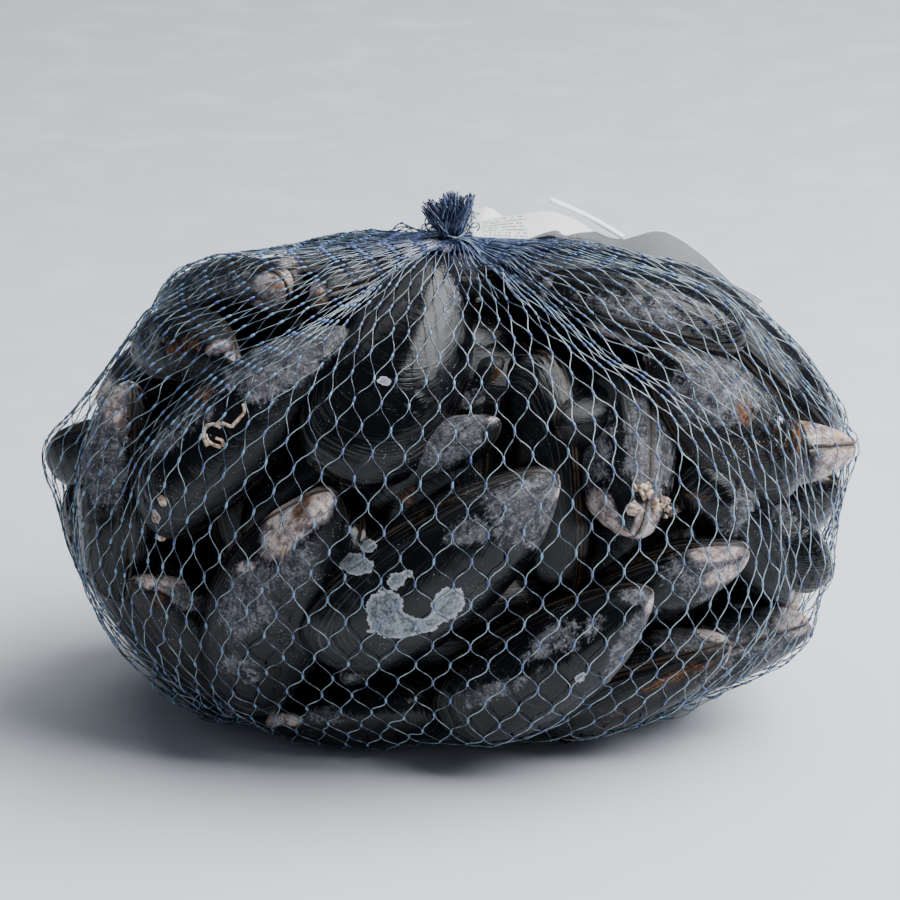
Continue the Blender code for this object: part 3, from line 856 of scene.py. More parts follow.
def knot_paint():
    p = Paint("net_knots")
    pale, deep = p.attributes("pale", "deep")
    light = p.blend(pale, (0.080, 0.110, 0.290), (0.190, 0.340, 0.480))
    p.set(Base_Color=p.blend(deep, light, (0.030, 0.050, 0.160)), Roughness=0.30,
          Specular_IOR_Level=0.6)
    return p.material


def group_grids(places, marks, rings, sides):
    return [shell_grid(place, rings, sides, mark) for place, mark in zip(places, marks)]


def build_shells():
    finish = shell_paint()
    front = group_grids(front_places, front_marks(), FRONT_RINGS, FRONT_SIDES)
    loose = group_grids(loose_places, loose_marks(len(loose_places), 101), LOOSE_RINGS, LOOSE_SIDES)
    inner = group_grids(inner_places, loose_marks(len(inner_places), 301, 0.0),
                        INNER_RINGS, INNER_SIDES)
    half = len(front) // 2
    groups = {"front_mussels_a": front[:half], "front_mussels_b": front[half:],
              "loose_mussels": loose, "inner_mussels": inner}
    for name, group in groups.items():
        make_piece(name, "shells", "mussel_net_bag", finish, *join_grids(group))


def build_middle():
    """A matte black form deep inside, painted shade where the heap is too thick to see through."""
    bpy.ops.mesh.primitive_uv_sphere_add(segments=48, ring_count=24, radius=1.0)
    middle = bpy.context.object
    middle.name = "painted_shade_middle"
    for vert in middle.data.vertices:
        way = np.array(vert.co) * HALF
        vert.co = way / max(bag_size(way), 1e-6) * MIDDLE_SHARE + CENTRE
    middle.data.shade_smooth()
    p = Paint("painted_shade_middle")
    # Painted shade: near-black and matte, so the view into the heap ends in darkness.
    p.set(Base_Color=(0.003, 0.003, 0.004), Roughness=0.8, Specular_IOR_Level=0.1)
    middle.data.materials.append(p.material)
    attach(middle, "root")
    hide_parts("mussel_net_bag")


build_shells()
build_middle()


# The net: how many meshes it has round the bag and from neck to bottom, its twine, and how it
# is pulled tight over the shells.
NET_COLUMNS = 102
NET_ROWS = 32
BAR_LENGTH = 0.0076
BAR_SPREAD = 0.04
NECK_SPREAD = 0.14
BAR_STEPS = 6
BAR_SIDES = 3
KNOT_SIDES = 5
TWINE_RADIUS = 0.000160
TWINE_SWAY = 0.00040
KNOT_LEAD = 0.0030
NECK_X = 0.0005
NECK_Y = 0.0050
NECK_TOP = 0.0664
NECK_RADIUS = 0.0021
BOTTOM_HALF_WIDTH = 0.045
BOTTOM_HALF_DEPTH = 0.003
NET_CLEAR = 0.00060
NET_STEPS = 700
NET_START = 1.06
NET_RATE = 0.45
SLACK_PULL = 0.06
NET_SEED = 3
# How much closer the meshes stand at the bag's ends, and the directions in degrees, counted
# from the front and from the back, over which that sets in.
END_CROWDING = 1.25
FRONT_EASE = (24.0, 62.0)
BACK_EASE = (15.0, 45.0)
AZIMUTHS = 640
POLARS = 320
SHEET_CELLS = 6
NECK_ROWS = 3
NET_ABOVE_FLOOR = 0.0007
# Where the net is gathered into bundles near the neck: direction in degrees seen from above,
# how many degrees wide, and how far the twine is drawn to the middle.
BUNDLES = [(-131.0, 30.0, 0.62), (-50.0, 30.0, 0.62), (-168.0, 22.0, 0.35), (-12.0, 24.0, 0.40),
           (60.0, 30.0, 0.35), (140.0, 30.0, 0.35)]
BUNDLE_ROWS = 9
BUNDLE_RATE = 0.08
GATHERED = 120
GATHERED_STEPS = 22


def widened(table, cells, blend):
    """A table in which every value takes in its neighbours, up to a number of cells away."""
    table = blend([np.roll(table, k, axis=1) for k in range(-cells, cells + 1)], axis=0)
    padded = np.pad(table, ((cells, cells), (0, 0)), mode="edge")
    return blend([padded[k:k + len(table)] for k in range(2 * cells + 1)], axis=0)


class Obstacle:
    """How far the shells reach from the bag's centre in every direction."""

    def __init__(self, places):
        tree = shells_to_meet(places, 60, 44)
        reach = np.zeros((POLARS + 1, AZIMUTHS))
        centre = Vector(CENTRE)
        for i in range(POLARS + 1):
            polar = math.pi * i / POLARS
            for j in range(AZIMUTHS):
                azimuth = 2 * math.pi * j / AZIMUTHS
                way = Vector((math.sin(polar) * math.cos(azimuth),
                              math.sin(polar) * math.sin(azimuth), math.cos(polar)))
                hit = tree.ray_cast(centre + way * 0.3, -way)
                if hit[0] is not None:
                    reach[i, j] = (hit[0] - centre).length
        self.reach = widened(reach, 1, np.max)
        self.sheet_reach = reach

    def cells(self, points):
        """Where points lie from the centre, and the table's row and column, with fractions."""
        rel = points - CENTRE
        far = np.linalg.norm(rel, axis=-1)
        polar = np.arccos(np.clip(rel[..., 2] / far, -1, 1)) / np.pi * POLARS
        azimuth = (np.arctan2(rel[..., 1], rel[..., 0]) / (2 * np.pi) % 1) * AZIMUTHS
        return rel, far, polar, azimuth

    def lay_sheet_on(self, points):
        """Makes the form that a sheet lies on out of the shells and the net's twine."""
        _, far, polar, azimuth = self.cells(points)
        cell = (polar.astype(int), azimuth.astype(int) % AZIMUTHS)
        np.maximum.at(self.sheet_reach, cell, far)
        full = widened(self.sheet_reach, SHEET_CELLS, np.max)
        self.sheet_reach = widened(full, SHEET_CELLS, np.mean)

    def moved_out(self, points, reach, clear):
        """Points moved away from the centre until they are clear of the table's reach."""
        rel, far, polar, azimuth = self.cells(points)
        i = np.minimum(polar.astype(int), POLARS - 1)
        j = azimuth.astype(int) % AZIMUTHS
        k = (j + 1) % AZIMUTHS
        down = polar - i
        side = azimuth - np.floor(azimuth)
        top = reach[i, j] * (1 - side) + reach[i, k] * side
        low = reach[i + 1, j] * (1 - side) + reach[i + 1, k] * side
        want = np.maximum(far, top * (1 - down) + low * down + clear)
        return CENTRE + rel * (want / far)[..., None]

    def push_out(self, points, clear):
        """Moves twine out of the shells and off the floor."""
        moved = self.moved_out(points, self.reach, clear)
        moved[..., 2] = np.maximum(moved[..., 2], NET_ABOVE_FLOOR)
        return moved

    def drape(self, points, clear):
        """Lifts a sheet's points clear of the net, smoothly over several shells."""
        return self.moved_out(points, self.sheet_reach, clear)


def net_bars():
    """Which knots each bar joins: every knot hangs from two and carries two."""
    first, second = [], []
    for row in range(NET_ROWS):
        for column in range(NET_COLUMNS):
            side = column - 1 if row % 2 == 0 else column + 1
            for other in (column, side % NET_COLUMNS):
                first.append(row * NET_COLUMNS + column)
                second.append((row + 1) * NET_COLUMNS + other)
    return np.array(first), np.array(second)


def ease(value, low, high):
    share = np.clip((value - low) / (high - low), 0, 1)
    return share * share * (3 - 2 * share)


def net_turns(shares):
    """Directions seen from above that part the bag's widest line into the net's columns."""
    turns = np.linspace(-np.pi, np.pi, 1441)
    ways = np.stack([np.cos(turns), np.sin(turns), 0 * turns], axis=1) * HALF
    line = ways / bag_size(ways)[:, None]
    from_front = np.degrees(np.abs((turns + 1.5 * np.pi) % (2 * np.pi) - np.pi))
    crowding = 1 + END_CROWDING * ease(from_front, *FRONT_EASE) * ease(180 - from_front, *BACK_EASE)
    steps = np.linalg.norm(np.diff(line, axis=0), axis=1) * crowding[1:]
    walked = np.concatenate([[0.0], np.cumsum(steps)])
    return np.interp(shares % 1 * walked[-1], walked, turns)


def bundled(turns):
    """Directions drawn together into the neck's bundles."""
    moved = turns.copy()
    for middle, wide, share in BUNDLES:
        off = (turns - math.radians(middle) + np.pi) % (2 * np.pi) - np.pi
        pull = share * np.exp(-(off / math.radians(wide)) ** 2)
        moved = moved - off * pull
    return moved


def first_knots():
    """The knots on the bag's outer form, before the net is pulled tight."""
    rows = np.arange(NET_ROWS + 1)[:, None]
    shares = (np.arange(NET_COLUMNS)[None] + 0.5 * (rows % 2)) / NET_COLUMNS
    turns = net_turns(shares)
    polar = math.pi * (0.04 + 0.92 * rows / NET_ROWS)
    ways = np.stack([np.sin(polar) * np.cos(turns), np.sin(polar) * np.sin(turns),
                     np.cos(polar) + 0 * turns], axis=-1) * HALF
    knots = ways / bag_size(ways)[..., None] * NET_START
    gathered = bundled(turns[0])
    knots[0, :, 0] = NECK_X + NECK_RADIUS * np.cos(gathered)
    knots[0, :, 1] = NECK_Y + NECK_RADIUS * np.sin(gathered)
    knots[0, :, 2] = NECK_TOP
    knots[-1, :, 0] = BOTTOM_HALF_WIDTH * np.cos(turns[-1])
    knots[-1, :, 1] = BOTTOM_HALF_DEPTH * np.sin(turns[-1])
    knots[-1, :, 2] = -FLOOR_DROP + 0.0005
    return knots + CENTRE, turns


def draw_bundles(knots, turns):
    """Moves the upper rows sideways round the neck towards their bundles."""
    axis = CENTRE[:2] + np.array([NECK_X, NECK_Y])
    for row in range(1, BUNDLE_ROWS):
        rate = BUNDLE_RATE * (1 - row / BUNDLE_ROWS)
        rel = knots[row, :, :2] - axis
        now = np.arctan2(rel[:, 1], rel[:, 0])
        want = bundled(turns[row])
        off = (want - now + np.pi) % (2 * np.pi) - np.pi
        angle = now + off * rate
        far = np.linalg.norm(rel, axis=1)
        knots[row, :, 0] = axis[0] + far * np.cos(angle)
        knots[row, :, 1] = axis[1] + far * np.sin(angle)


def net_knots(obstacle):
    """Pulls the net's knots tight over the shells, from the neck to the gather below."""
    grid, turns = first_knots()
    shape = grid.shape
    knots = grid.reshape(-1, 3).copy()
    pins = np.zeros(len(knots), bool)
    pins[:NET_COLUMNS] = pins[-NET_COLUMNS:] = True
    fixed = knots[pins].copy()
    first, second = net_bars()
    spread = np.random.RandomState(NET_SEED).uniform(-1, 1, len(first))
    uneven = BAR_SPREAD + NECK_SPREAD * np.clip(1 - first // NET_COLUMNS / BUNDLE_ROWS, 0, 1)
    longest = BAR_LENGTH * (0.97 + uneven * spread)
    for _ in range(NET_STEPS):
        apart = knots[second] - knots[first]
        far = np.linalg.norm(apart, axis=1)
        excess = far - longest
        pull = np.where(excess > 0, excess, excess * SLACK_PULL)
        move = apart / far[:, None] * (pull * 0.5)[:, None]
        total = np.zeros_like(knots)
        np.add.at(total, first, move)
        np.add.at(total, second, -move)
        knots = knots + total * NET_RATE
        draw_bundles(knots.reshape(shape), turns)
        knots = obstacle.push_out(knots, NET_CLEAR)
        knots[pins] = fixed
    return knots


def tube_rings(paths, radii, sides):
    """Round tubes along many paths at once: points and faces, with closed ends."""
    count, steps = paths.shape[:2]
    ahead = units(np.gradient(paths, axis=1))
    side = units(np.cross(ahead, paths - CENTRE))
    up = np.cross(side, ahead)
    turn = 2 * np.pi * np.arange(sides) / sides
    ring = side[:, :, None] * np.cos(turn)[:, None] + up[:, :, None] * np.sin(turn)[:, None]
    points = paths[:, :, None] + ring * radii[:, :, None, None]
    index = np.arange(count * steps * sides).reshape(count, steps, sides)
    after = np.roll(index, -1, axis=2)
    quads = np.stack([index[:, :-1], after[:, :-1], after[:, 1:], index[:, 1:]], axis=-1)
    faces = quads.reshape(-1, 4).tolist()
    faces += index[:, 0, ::-1].tolist()
    faces += index[:, -1].tolist()
    return points.reshape(-1, 3), faces


def knot_downs(knots):
    """The net's direction from neck to bottom at each knot."""
    grid = knots.reshape(NET_ROWS + 1, NET_COLUMNS, 3)
    down = np.zeros_like(grid)
    down[1:-1] = grid[2:] - grid[:-2]
    down[0] = grid[1] - grid[0]
    down[-1] = grid[-1] - grid[-2]
    down /= np.linalg.norm(down, axis=-1, keepdims=True)
    return down.reshape(-1, 3)


def neck_depth(rows):
    """1 at the neck, 0 where the net has its plain colour."""
    return np.clip(1 - (rows - 0.5) / 4.5, 0, 1)


def twine_values(deep, pale, each):
    """What each strand's points carry: how near the neck it is, and its tone, with the painted
    highlight of bars that lean one way.
    """
    return {"deep": np.repeat(deep, each), "pale": np.repeat(pale, each)}


def net_threads(knots, down, obstacle, part):
    """Each bar leaves its knots along the net's length and swings across between them."""
    chance = np.random.RandomState(NET_SEED + 1 + (part.start > 0))
    first, second = net_bars()
    first = first[part]
    second = second[part]
    start = knots[first]
    end = knots[second]
    span = np.linalg.norm(end - start, axis=1, keepdims=True)
    lead = np.minimum(span * 0.42, KNOT_LEAD)
    sway = chance.uniform(-1, 1, (2, len(first), 3)) * TWINE_SWAY
    share = np.linspace(0, 1, BAR_STEPS)[None, :, None]
    near = (start + down[first] * lead + sway[0])[:, None]
    away = (end - down[second] * lead + sway[1])[:, None]
    paths = (start[:, None] * (1 - share) ** 3 + near * 3 * share * (1 - share) ** 2
             + away * 3 * share ** 2 * (1 - share) + end[:, None] * share ** 3)
    paths = obstacle.push_out(paths, NET_CLEAR)
    radii = np.full(paths.shape[:2], TWINE_RADIUS)
    points, faces = tube_rings(paths, radii, BAR_SIDES)
    # Painted highlight: the bars that lean one way are made paler, where the light catches them;
    # each bar's tone also varies at random.
    lean_highlight = np.where(np.arange(len(first)) % 2 == first // NET_COLUMNS % 2, 0.30, 0.75)
    pale = lean_highlight + chance.uniform(-0.3, 0.3, len(first))
    deep = neck_depth(first // NET_COLUMNS)
    return points, faces, twine_values(deep, pale, BAR_STEPS * BAR_SIDES)


def knot_lumps(knots, down):
    """A small flat lump at each fused crossing, longer than it is wide."""
    chance = np.random.RandomState(NET_SEED + 2)
    inner = slice(NET_COLUMNS, -NET_COLUMNS)
    reach = np.array([-0.85, -0.55, 0.0, 0.55, 0.85]) * MM
    size = np.array([0.15, 0.31, 0.38, 0.31, 0.15]) * MM
    paths = knots[inner][:, None] + down[inner][:, None] * reach[None, :, None]
    radii = np.broadcast_to(size, paths.shape[:2])
    points, faces = tube_rings(paths, radii, KNOT_SIDES)
    rows = np.arange(len(knots))[inner] // NET_COLUMNS
    pale = chance.uniform(0, 1, len(rows)) ** 1.3
    return points, faces, twine_values(neck_depth(rows), pale, len(reach) * KNOT_SIDES)


def resampled(points, spots):
    """The places on a path at spots counted in its points."""
    numbers = np.arange(len(points))
    return np.stack([np.interp(spots, numbers, points[:, k]) for k in range(3)], axis=1)


def gathered_strands(knots, obstacle):
    """Slack twine that lies bunched on the net round the neck."""
    draw = random.Random(NET_SEED + 4)
    grid = knots.reshape(NET_ROWS + 1, NET_COLUMNS, 3)
    paths = []
    for _ in range(GATHERED):
        column = draw.randrange(NET_COLUMNS)
        last = draw.uniform(2.0, 4.6)
        share = draw.uniform(0.1, 0.9)
        line = grid[:, column] * (1 - share) + grid[:, (column + 1) % NET_COLUMNS] * share
        spots = np.linspace(0, last, GATHERED_STEPS)
        path = resampled(line, spots)
        swing = np.sin(spots * draw.uniform(0.8, 2.0) + draw.uniform(0, 6.28))
        swing = swing * np.minimum(spots, 1)
        path[:, 0] += 0.0007 * swing
        path[:, 1] += 0.0005 * swing
        paths.append(path)
    paths = obstacle.push_out(np.array(paths), NET_CLEAR + 0.0006)
    taper = np.linspace(1.0, 0.6, GATHERED_STEPS) * TWINE_RADIUS
    points, faces = tube_rings(paths, np.broadcast_to(taper, paths.shape[:2]), BAR_SIDES)
    chance = np.random.RandomState(NET_SEED + 5)
    deep = chance.uniform(0.3, 1, GATHERED)
    pale = chance.uniform(0, 1, GATHERED)
    return points, faces, twine_values(deep, pale, GATHERED_STEPS * BAR_SIDES)


def build_net(obstacle):
    knots = net_knots(obstacle)
    down = knot_downs(knots)
    half = NET_ROWS // 2 * NET_COLUMNS * 2
    upper = net_threads(knots, down, obstacle, slice(0, half))
    lower = net_threads(knots, down, obstacle, slice(half, None))
    obstacle.lay_sheet_on(upper[0][NECK_ROWS * NET_COLUMNS * 2 * BAR_STEPS * BAR_SIDES:])
    for name, finish, made in (("net_threads_upper", twine_finish, upper),
                               ("net_threads_lower", twine_finish, lower),
                               ("net_gather", twine_finish, gathered_strands(knots, obstacle)),
                               ("net_knots", knot_finish, knot_lumps(knots, down))):
        make_piece(name, "net_twine", "mussel_net_bag", finish, *made)


twine_finish = net_paint()
knot_finish = knot_paint()
obstacle = Obstacle(front_places + loose_places)
build_net(obstacle)


# The tuft above the neck: each clump's shift to the side, its height, its half width and half
# depth, and its share of the strands.
TUFT_STRANDS = 210
TUFT_SEED = 5
TUFT_TWINE = 0.00022
TUFT_STEPS = 11
CURL_STEPS = 14
WINDING_STEPS = 48
STRAND_SIDES = 6
TUFT_CLUMPS = [
    (-0.0002, 0.0790, 0.0028, 0.0024, 0.44),
    (-0.0056, 0.0768, 0.0021, 0.0022, 0.30),
    (0.0044, 0.0786, 0.0015, 0.0022, 0.26),
]
# Loose loops beside the tuft: sideways place, height, radius, and turn in degrees.
CURLS = [
    (-0.0052, 0.0700, 0.0016, 20.0),
    (-0.0061, 0.0686, 0.0013, 70.0),
    (-0.0046, 0.0678, 0.0014, -30.0),
    (0.0052, 0.0706, 0.0012, 40.0),
    (0.0057, 0.0690, 0.0011, -50.0),
]
# Strands wound round the neck: lean in degrees, lift and radius.
WINDINGS = [(16.0, 0.0002, 0.0030), (-14.0, 0.0008, 0.0029), (6.0, -0.0006, 0.0031)]


def tuft_path(clump, draw):
    """One strand from inside the neck up into its clump."""
    sideways, height, half_x, half_y, _ = clump
    turn = draw.uniform(0, 2 * math.pi)
    inner = NECK_RADIUS * math.sqrt(draw.uniform(0, 1))
    spread = draw.uniform(0, 2 * math.pi)
    wide = math.sqrt(draw.uniform(0, 1))
    tip_x = sideways + half_x * wide * math.cos(spread)
    tip_y = half_y * wide * math.sin(spread)
    tip_z = height - draw.uniform(0, 0.0030) - 0.0012 * wide
    phase = draw.uniform(0, 6.28)
    path = []
    for k in range(TUFT_STEPS + 1):
        s = k / TUFT_STEPS
        belly = math.sin(math.pi * min(s * 1.1, 1)) * 0.0011
        wobble = 0.00040 * math.sin(phase + 8 * s)
        path.append([
            NECK_X + inner * math.cos(turn) * (1 - s) + tip_x * s ** 1.2
            + wobble + belly * math.cos(spread),
            NECK_Y + inner * math.sin(turn) * (1 - s) + tip_y * s
            + 0.7 * wobble + belly * math.sin(spread),
            NECK_TOP - 0.0012 + (tip_z - NECK_TOP + 0.0012) * s,
        ])
    return path


def twine_piece(name, paths, twine, deep, node):
    """Strands of the net's twine as one piece."""
    paths = np.array(paths) + CENTRE
    points, faces = tube_rings(paths, np.full(paths.shape[:2], twine), STRAND_SIDES)
    pale = np.random.RandomState(len(paths)).uniform(0, 1, len(paths))
    values = twine_values(np.full(len(paths), deep), pale, paths.shape[1] * STRAND_SIDES)
    make_piece(name, "net_twine", node, twine_finish, points, faces, values)


def build_tuft():
    draw = random.Random(TUFT_SEED)
    paths = []
    for clump in TUFT_CLUMPS:
        paths += [tuft_path(clump, draw) for _ in range(round(TUFT_STRANDS * clump[4]))]
    twine_piece("net_tuft", paths, TUFT_TWINE, 1.0, "mussel_net_bag")


def build_curls():
    paths = []
    for side, level, radius, turn in CURLS:
        tilt = math.radians(turn)
        path = []
        for k in range(CURL_STEPS + 1):
            s = 2 * math.pi * 0.85 * k / CURL_STEPS
            x = radius * math.cos(s)
            z = 1.3 * radius * math.sin(s)
            path.append([NECK_X + side + x * math.cos(tilt) - z * math.sin(tilt),
                         NECK_Y - 0.0005 + 0.0006 * math.sin(s),
                         level + x * math.sin(tilt) + z * math.cos(tilt)])
        paths.append(path)
    twine_piece("tuft_curls", paths, 0.00018, 0.5, "mussel_net_bag")


def build_windings():
    """Pale strands that cross as they wind round the neck."""
    paths = []
    for lean, lift, reach in WINDINGS:
        path = []
        for k in range(WINDING_STEPS + 1):
            turn = 2 * math.pi * k / WINDING_STEPS
            x = reach * math.cos(turn)
            path.append([NECK_X + x, NECK_Y + reach * math.sin(turn),
                         NECK_TOP + lift + x * math.tan(math.radians(lean))])
        paths.append(path)
    twine_piece("neck_strands", paths, 0.00032, 0.0, "neck_tie")


build_tuft()
build_curls()
build_windings()


# The paper label. It folds over a ridge behind the knot: a short flap comes forward on the
# left, and the rest lies down the back. The ridge is in mm to the right of, behind and above
# the bag's centre. The flap narrows between two places, in mm to the right.
LABEL_LEFT = 0.0055
LABEL_RIGHT = 0.080
LABEL_RIDGE = np.array([
    (5.5, 16.0, 66.3), (14.0, 21.0, 67.3), (26.0, 25.0, 67.8), (33.0, 26.5, 65.0),
    (38.0, 27.5, 61.2), (44.0, 28.0, 58.6), (50.0, 29.0, 60.2), (55.0, 29.0, 61.6),
    (60.0, 28.5, 59.4), (67.0, 25.0, 55.0), (74.0, 21.5, 48.6), (80.0, 18.0, 43.6),
])
RIDGE_ROUNDING = 2.0
FLAP_NARROWS = 26.0
FLAP_ENDS = 38.0
FLAP_SHARE = 0.20
FLAP_FRONT = 0.0038
FLAP_LIFT = 0.0018
LABEL_LOW_ANGLE = 88.0
LABEL_LIFT = 0.0035
SHEET_COLUMNS = 120
SHEET_ROWS = 64
SHEET_THICK = 0.0003
SHEET_CLEAR = 0.0010
PRINT_WIDTH = 75.0
# The clear strip behind the ridge: its two ends, in mm right of, behind and above the centre.
STRIP_START = np.array([26.0, 27.0, 70.0])
STRIP_END = np.array([45.5, 28.0, 59.6])
STRIP_WIDTH = 1.7
STRIP_ARCH = np.array([0.0, 0.0, 0.72])
STRIP_STEPS = 24
STRIP_THICK = 0.0002


def label_ridge(x):
    """The label's ridge at x, with its corners rounded."""
    spots = x / MM + RIDGE_ROUNDING * np.array([-1.0, 0.0, 1.0])
    y = np.interp(spots, LABEL_RIDGE[:, 0], LABEL_RIDGE[:, 1]).mean()
    z = np.interp(spots, LABEL_RIDGE[:, 0], LABEL_RIDGE[:, 2]).mean()
    return np.array([x, y * MM, z * MM])


def form_reach(x, angle):
    """How far the bag's outer form lies from its long axis, at an angle from straight up."""
    room = 1 - (abs(x) / HALF[0]) ** SQUARENESS
    spread = ((math.sin(angle) / HALF[1]) ** SQUARENESS
              + (math.cos(angle) / HALF[2]) ** SQUARENESS)
    return (room / spread) ** (1 / SQUARENESS)


def label_point(across, down):
    """A point of the label: on its flap, or where it follows the bag's back."""
    x = LABEL_LEFT + (LABEL_RIGHT - LABEL_LEFT) * across
    ridge = label_ridge(x)
    wide = min(max((FLAP_ENDS - x / MM) / (FLAP_ENDS - FLAP_NARROWS), 0.0), 1.0)
    flap = FLAP_SHARE * wide
    if down < flap:
        front = ridge.copy()
        front[1] += (FLAP_FRONT - ridge[1]) * wide
        angle = math.atan2(front[1], ridge[2])
        low = form_reach(x, angle) * math.cos(angle) + FLAP_LIFT
        front[2] += (low - ridge[2]) * wide
        return ridge + (front - ridge) * (1 - down / flap) + CENTRE
    share = (down - flap) / (1 - flap)
    top = math.atan2(ridge[1], ridge[2])
    angle = top + (math.radians(LABEL_LOW_ANGLE) - top) * share
    rise = math.hypot(ridge[1], ridge[2]) - form_reach(x, top) - LABEL_LIFT
    reach = form_reach(x, angle) + LABEL_LIFT + rise * (1 - share) ** 3
    return np.array([x, math.sin(angle) * reach, math.cos(angle) * reach]) + CENTRE


def label_paint():
    """White paper with plain grey bars for print on its flap and its inner face."""
    p = Paint("label_paper")
    across, down = p.attributes("across", "down")
    grain = p.noise(700.0, 4.0, 0.6)
    rows = p.times(down, 38.0)
    place = p.vector(p.times(across, 0.9), p.times(p.math("FLOOR", rows), 3.7), 0.0)
    words = p.noise(1.0, 1.0, 0.5, vector=place)
    ink = p.times(p.step(p.math("FRACT", rows), 0.52, 0.60), p.step(words, -0.05, 0.0))
    first = p.times(p.step(across, 2.5, 3.0), p.step(across, 14.5, 14.0),
                    p.step(down, 0.215, 0.21))
    second = p.times(p.step(across, 22.0, 22.5), p.step(across, 36.0, 35.5),
                     p.step(down, 0.20, 0.21), p.step(down, 0.34, 0.33))
    ink = p.times(ink, p.math("MAXIMUM", first, second), 0.75)
    paper = p.over((0.94, 0.94, 0.945), (0.97, 0.97, 0.975), grain, -0.2, 0.2)
    p.set(Base_Color=p.blend(ink, paper, (0.10, 0.10, 0.11)), Roughness=0.5,
          Normal=p.bump(grain, 0.00003, 0.4), Subsurface_Weight=0.35,
          Subsurface_Radius=(1.0, 1.0, 1.0), Subsurface_Scale=0.003)
    return p.material


def thicken(sheet, thickness):
    """Gives a sheet its thickness, half of it to each side."""
    thick = sheet.modifiers.new("thick", "SOLIDIFY")
    thick.thickness = thickness
    thick.offset = 0.0


def build_label():
    points = []
    across = []
    down = []
    for i in range(SHEET_ROWS + 1):
        for j in range(SHEET_COLUMNS + 1):
            point = label_point(j / SHEET_COLUMNS, i / SHEET_ROWS)
            points.append(obstacle.drape(point, SHEET_CLEAR))
            across.append(PRINT_WIDTH * j / SHEET_COLUMNS)
            down.append(i / SHEET_ROWS)
    index = np.arange(len(points)).reshape(SHEET_ROWS + 1, SHEET_COLUMNS + 1)
    faces = quads_between(index[:, :-1], index[:, 1:]).tolist()
    label = make_piece("label_sheet", "label_paper", "paper_label", label_paint(), points, faces,
                       {"across": across, "down": down})
    thicken(label, SHEET_THICK)


def build_strip():
    """A narrow clear strip that stands up behind the label's ridge, coloured near-white as a
    painted highlight along the film.
    """
    p = Paint("strip_painted_highlight")
    # Painted highlight: the clear film is given a near-white colour for the bright glint along its
    # edge.
    p.set(Base_Color=(0.90, 0.96, 0.97), Roughness=0.45)
    way = STRIP_END - STRIP_START
    side = unit(np.cross(way, [0.0, 0.6, -0.8])) * STRIP_WIDTH / 2
    points = []
    for k in range(STRIP_STEPS + 1):
        share = k / STRIP_STEPS
        middle = STRIP_START + way * share + STRIP_ARCH * math.sin(math.pi * share)
        points += [(middle - side) * MM + CENTRE, (middle + side) * MM + CENTRE]
    faces = [[2 * k, 2 * k + 1, 2 * k + 3, 2 * k + 2] for k in range(STRIP_STEPS)]
    strip = make_piece("label_strip", "label_paper", "paper_label", p.material, points, faces)
    thicken(strip, STRIP_THICK)


build_label()
build_strip()


class Sight:
    """Finds the point of a shell behind a pixel of the frame."""

    def __init__(self):
        self.tree = shells_to_meet(front_places + loose_places + inner_places, 44, 34)
        self.eye = Vector(CENTRE + VIEW_EYE)

    def at(self, across, down):
        share = VIEW_WIDTH / VIEW_AWAY / FRAME_SIZE
        way = (VIEW_IN + VIEW_RIGHT * (across - FRAME_SIZE / 2) * share
               - VIEW_UP * (down - FRAME_SIZE / 2) * share)
        hit = self.tree.ray_cast(self.eye, Vector(way).normalized())
        return np.array(hit[0]), np.array(hit[1])


# Small growth on the front shells, placed in the frame's pixels. First the worm tubes on the
# big grey mussel: points along each tube.
WORM_TUBES = [
    [(208, 446), (203, 436), (206, 426), (214, 424), (221, 428)],
    [(221, 447), (214, 445), (208, 441), (206, 434)],
    [(214, 425), (222, 423), (232, 427), (238, 421)],
    [(232, 427), (240, 418), (245, 412), (243, 404)],
    [(224, 446), (222, 440), (216, 438)],
]
WORM_RADIUS = 0.00050
WORM_STEPS = 12
# Clusters of small barnacles: middle, half width, half height, how many.
BARNACLES = [(641, 489, 9, 7, 9), (664, 507, 11, 12, 14), (634, 509, 6, 5, 5)]
# Pearls of lime: middle, and how much wider and higher than a ball each is.
PEARL_RADIUS = 0.001
PEARLS = [(163, 500, 1.2, 1.7), (161, 535, 1.5, 1.9), (155, 516, 1.0, 1.8), (478, 300, 0.8, 0.8)]


def growth_paint():
    p = Paint("lime_growth")
    fine = p.noise(900.0, 4.0, 0.6)
    colour = p.over((0.26, 0.14, 0.08), (0.66, 0.56, 0.46), fine, -0.10, 0.10)
    p.set(Base_Color=colour, Roughness=0.6, Normal=p.bump(fine, 0.0004, 0.5))
    return p.material


def build_worms(sight, finish):
    paths = []
    for route in WORM_TUBES:
        spots = []
        for across, down in route:
            point, normal = sight.at(across, down)
            spots.append(point + normal * WORM_RADIUS * 0.8)
        walked = np.linspace(0, len(spots) - 1, WORM_STEPS)
        paths.append(resampled(np.array(spots), walked))
    paths = np.array(paths)
    radii = np.broadcast_to(np.linspace(1.0, 0.7, WORM_STEPS) * WORM_RADIUS, paths.shape[:2])
    make_piece("worm_tubes", "shells", "mussel_net_bag", finish, *tube_rings(paths, radii, 8))


def turned_to(direction, place):
    """The turn and place of something that stands at a place and points in a direction."""
    turned = Vector(direction).to_track_quat("Z", "Y").to_matrix().to_4x4()
    turned.translation = Vector(place)
    return turned


def add_barnacle(base, point, normal, draw):
    size = draw.uniform(0.0008, 0.0019)
    lean = normal + np.array([draw.uniform(-1.1, 1.1) for _ in range(3)])
    bmesh.ops.create_cone(base, cap_ends=True, segments=draw.choice((3, 4, 5)),
                          radius1=size, radius2=size * draw.uniform(0.4, 0.9),
                          depth=size * draw.uniform(0.35, 1.3),
                          matrix=turned_to(lean, point + normal * size * 0.2))


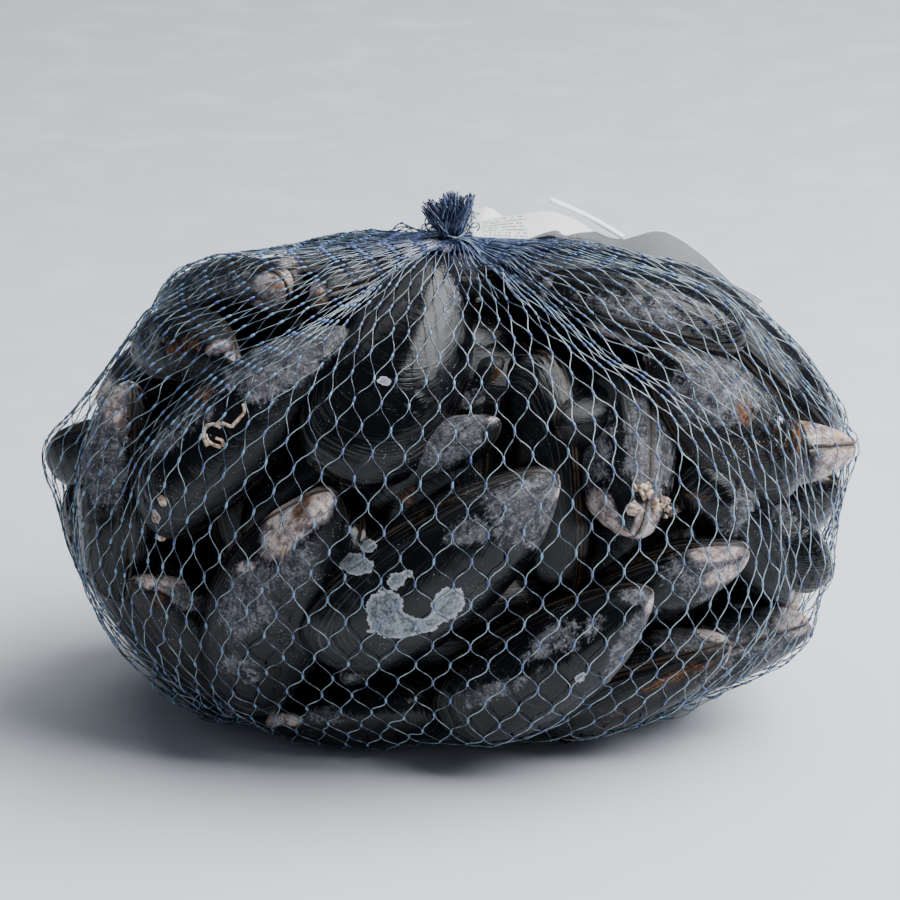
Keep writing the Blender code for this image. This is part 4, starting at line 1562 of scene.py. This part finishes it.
def add_pearl(base, point, normal, wide, high):
    """A ball drawn out as the front shows it, and flattened against the shell."""
    made = bmesh.ops.create_uvsphere(base, u_segments=12, v_segments=8, radius=PEARL_RADIUS,
                                     matrix=turned_to(normal, point))
    for vert in made["verts"]:
        rel = np.array(vert.co) - point
        flat = normal * (rel @ normal)
        drawn = VIEW_UP * (rel @ VIEW_UP) * (high - 1) + VIEW_RIGHT * rel[0] * (wide - 1)
        vert.co = point + drawn + rel - flat * 0.4


def build_barnacles(sight, finish):
    draw = random.Random(9)
    base = bmesh.new()
    for middle_x, middle_y, wide, high, count in BARNACLES:
        for _ in range(count):
            turn = draw.uniform(0, 2 * math.pi)
            far = math.sqrt(draw.uniform(0, 1))
            point, normal = sight.at(middle_x + wide * far * math.cos(turn),
                                     middle_y + high * far * math.sin(turn))
            add_barnacle(base, point, normal, draw)
    for across, down, wide, high in PEARLS:
        add_pearl(base, *sight.at(across, down), wide, high)
    points = [list(vert.co) for vert in base.verts]
    faces = [[vert.index for vert in face.verts] for face in base.faces]
    base.free()
    make_piece("barnacles", "shells", "mussel_net_bag", finish, points, faces)


sight = Sight()
growth_finish = growth_paint()
build_worms(sight, growth_finish)
build_barnacles(sight, growth_finish)


def build_floor():
    p = Paint("plaster_floor")
    broad = p.noise(2.2, 5.0, 0.6)
    small = p.noise(30.0, 6.0, 0.6)
    spot = p.new("SeparateXYZ")
    p.put(spot.inputs[0], p.place)
    # Painted light: the floor is painted lighter towards the front and the right, a pool of light,
    # with broad mottling of the plaster.
    light_pool_and_mottle = p.total((spot.outputs[1], -1.0), (spot.outputs[0], 0.35), (broad, 0.5))
    colour = p.over((0.565, 0.588, 0.628), (0.760, 0.783, 0.825), light_pool_and_mottle, -0.7, 0.35)
    colour = p.over(colour, (0.765, 0.785, 0.82), small, -0.05, 0.2, 0.4)
    p.set(Base_Color=colour, Roughness=0.75, Normal=p.bump(small, 0.0006, 0.25),
          Specular_IOR_Level=0.3)
    bpy.ops.mesh.primitive_plane_add(size=8.0, location=(0.0, 0.0, 0.0))
    floor = bpy.context.object
    floor.name = "floor"
    floor.data.materials.append(p.material)


def aim_along(made, place, way):
    """Puts a lamp or a camera at a place and points it along a direction."""
    made.location = place
    made.rotation_euler = Vector(way).to_track_quat("-Z", "Y").to_euler()


def area_light(name, place, aim, size, power, colour=(1.0, 1.0, 1.0)):
    light = bpy.data.lights.new(name, "AREA")
    light.shape = "RECTANGLE"
    light.size, light.size_y = size
    light.energy = power
    light.color = colour
    aim_along(link(name, light), place, Vector(aim) - Vector(place))


def build_lights():
    aim = (0.0, 0.0, 0.05)
    area_light("key", (0.87, 0.03, 1.17), aim, (1.45, 1.25), 62.0, (0.96, 0.98, 1.0))
    area_light("ceiling", (-0.10, 0.60, 1.55), aim, (1.6, 1.0), 8.0)
    world = bpy.data.worlds.new("soft_room")
    world.use_nodes = True
    sky = world.node_tree.nodes["Background"]
    sky.inputs["Color"].default_value = (0.78, 0.88, 1.0, 1.0)
    sky.inputs["Strength"].default_value = 0.17
    bpy.context.scene.world = world


def build_camera():
    camera = bpy.data.cameras.new("camera")
    camera.sensor_width = SENSOR_WIDTH
    camera.lens = SENSOR_WIDTH * VIEW_AWAY / VIEW_WIDTH
    holder = link("camera", camera)
    aim_along(holder, Vector(VIEW_EYE + CENTRE), VIEW_IN)
    bpy.context.scene.camera = holder


build_floor()
build_lights()
build_camera()
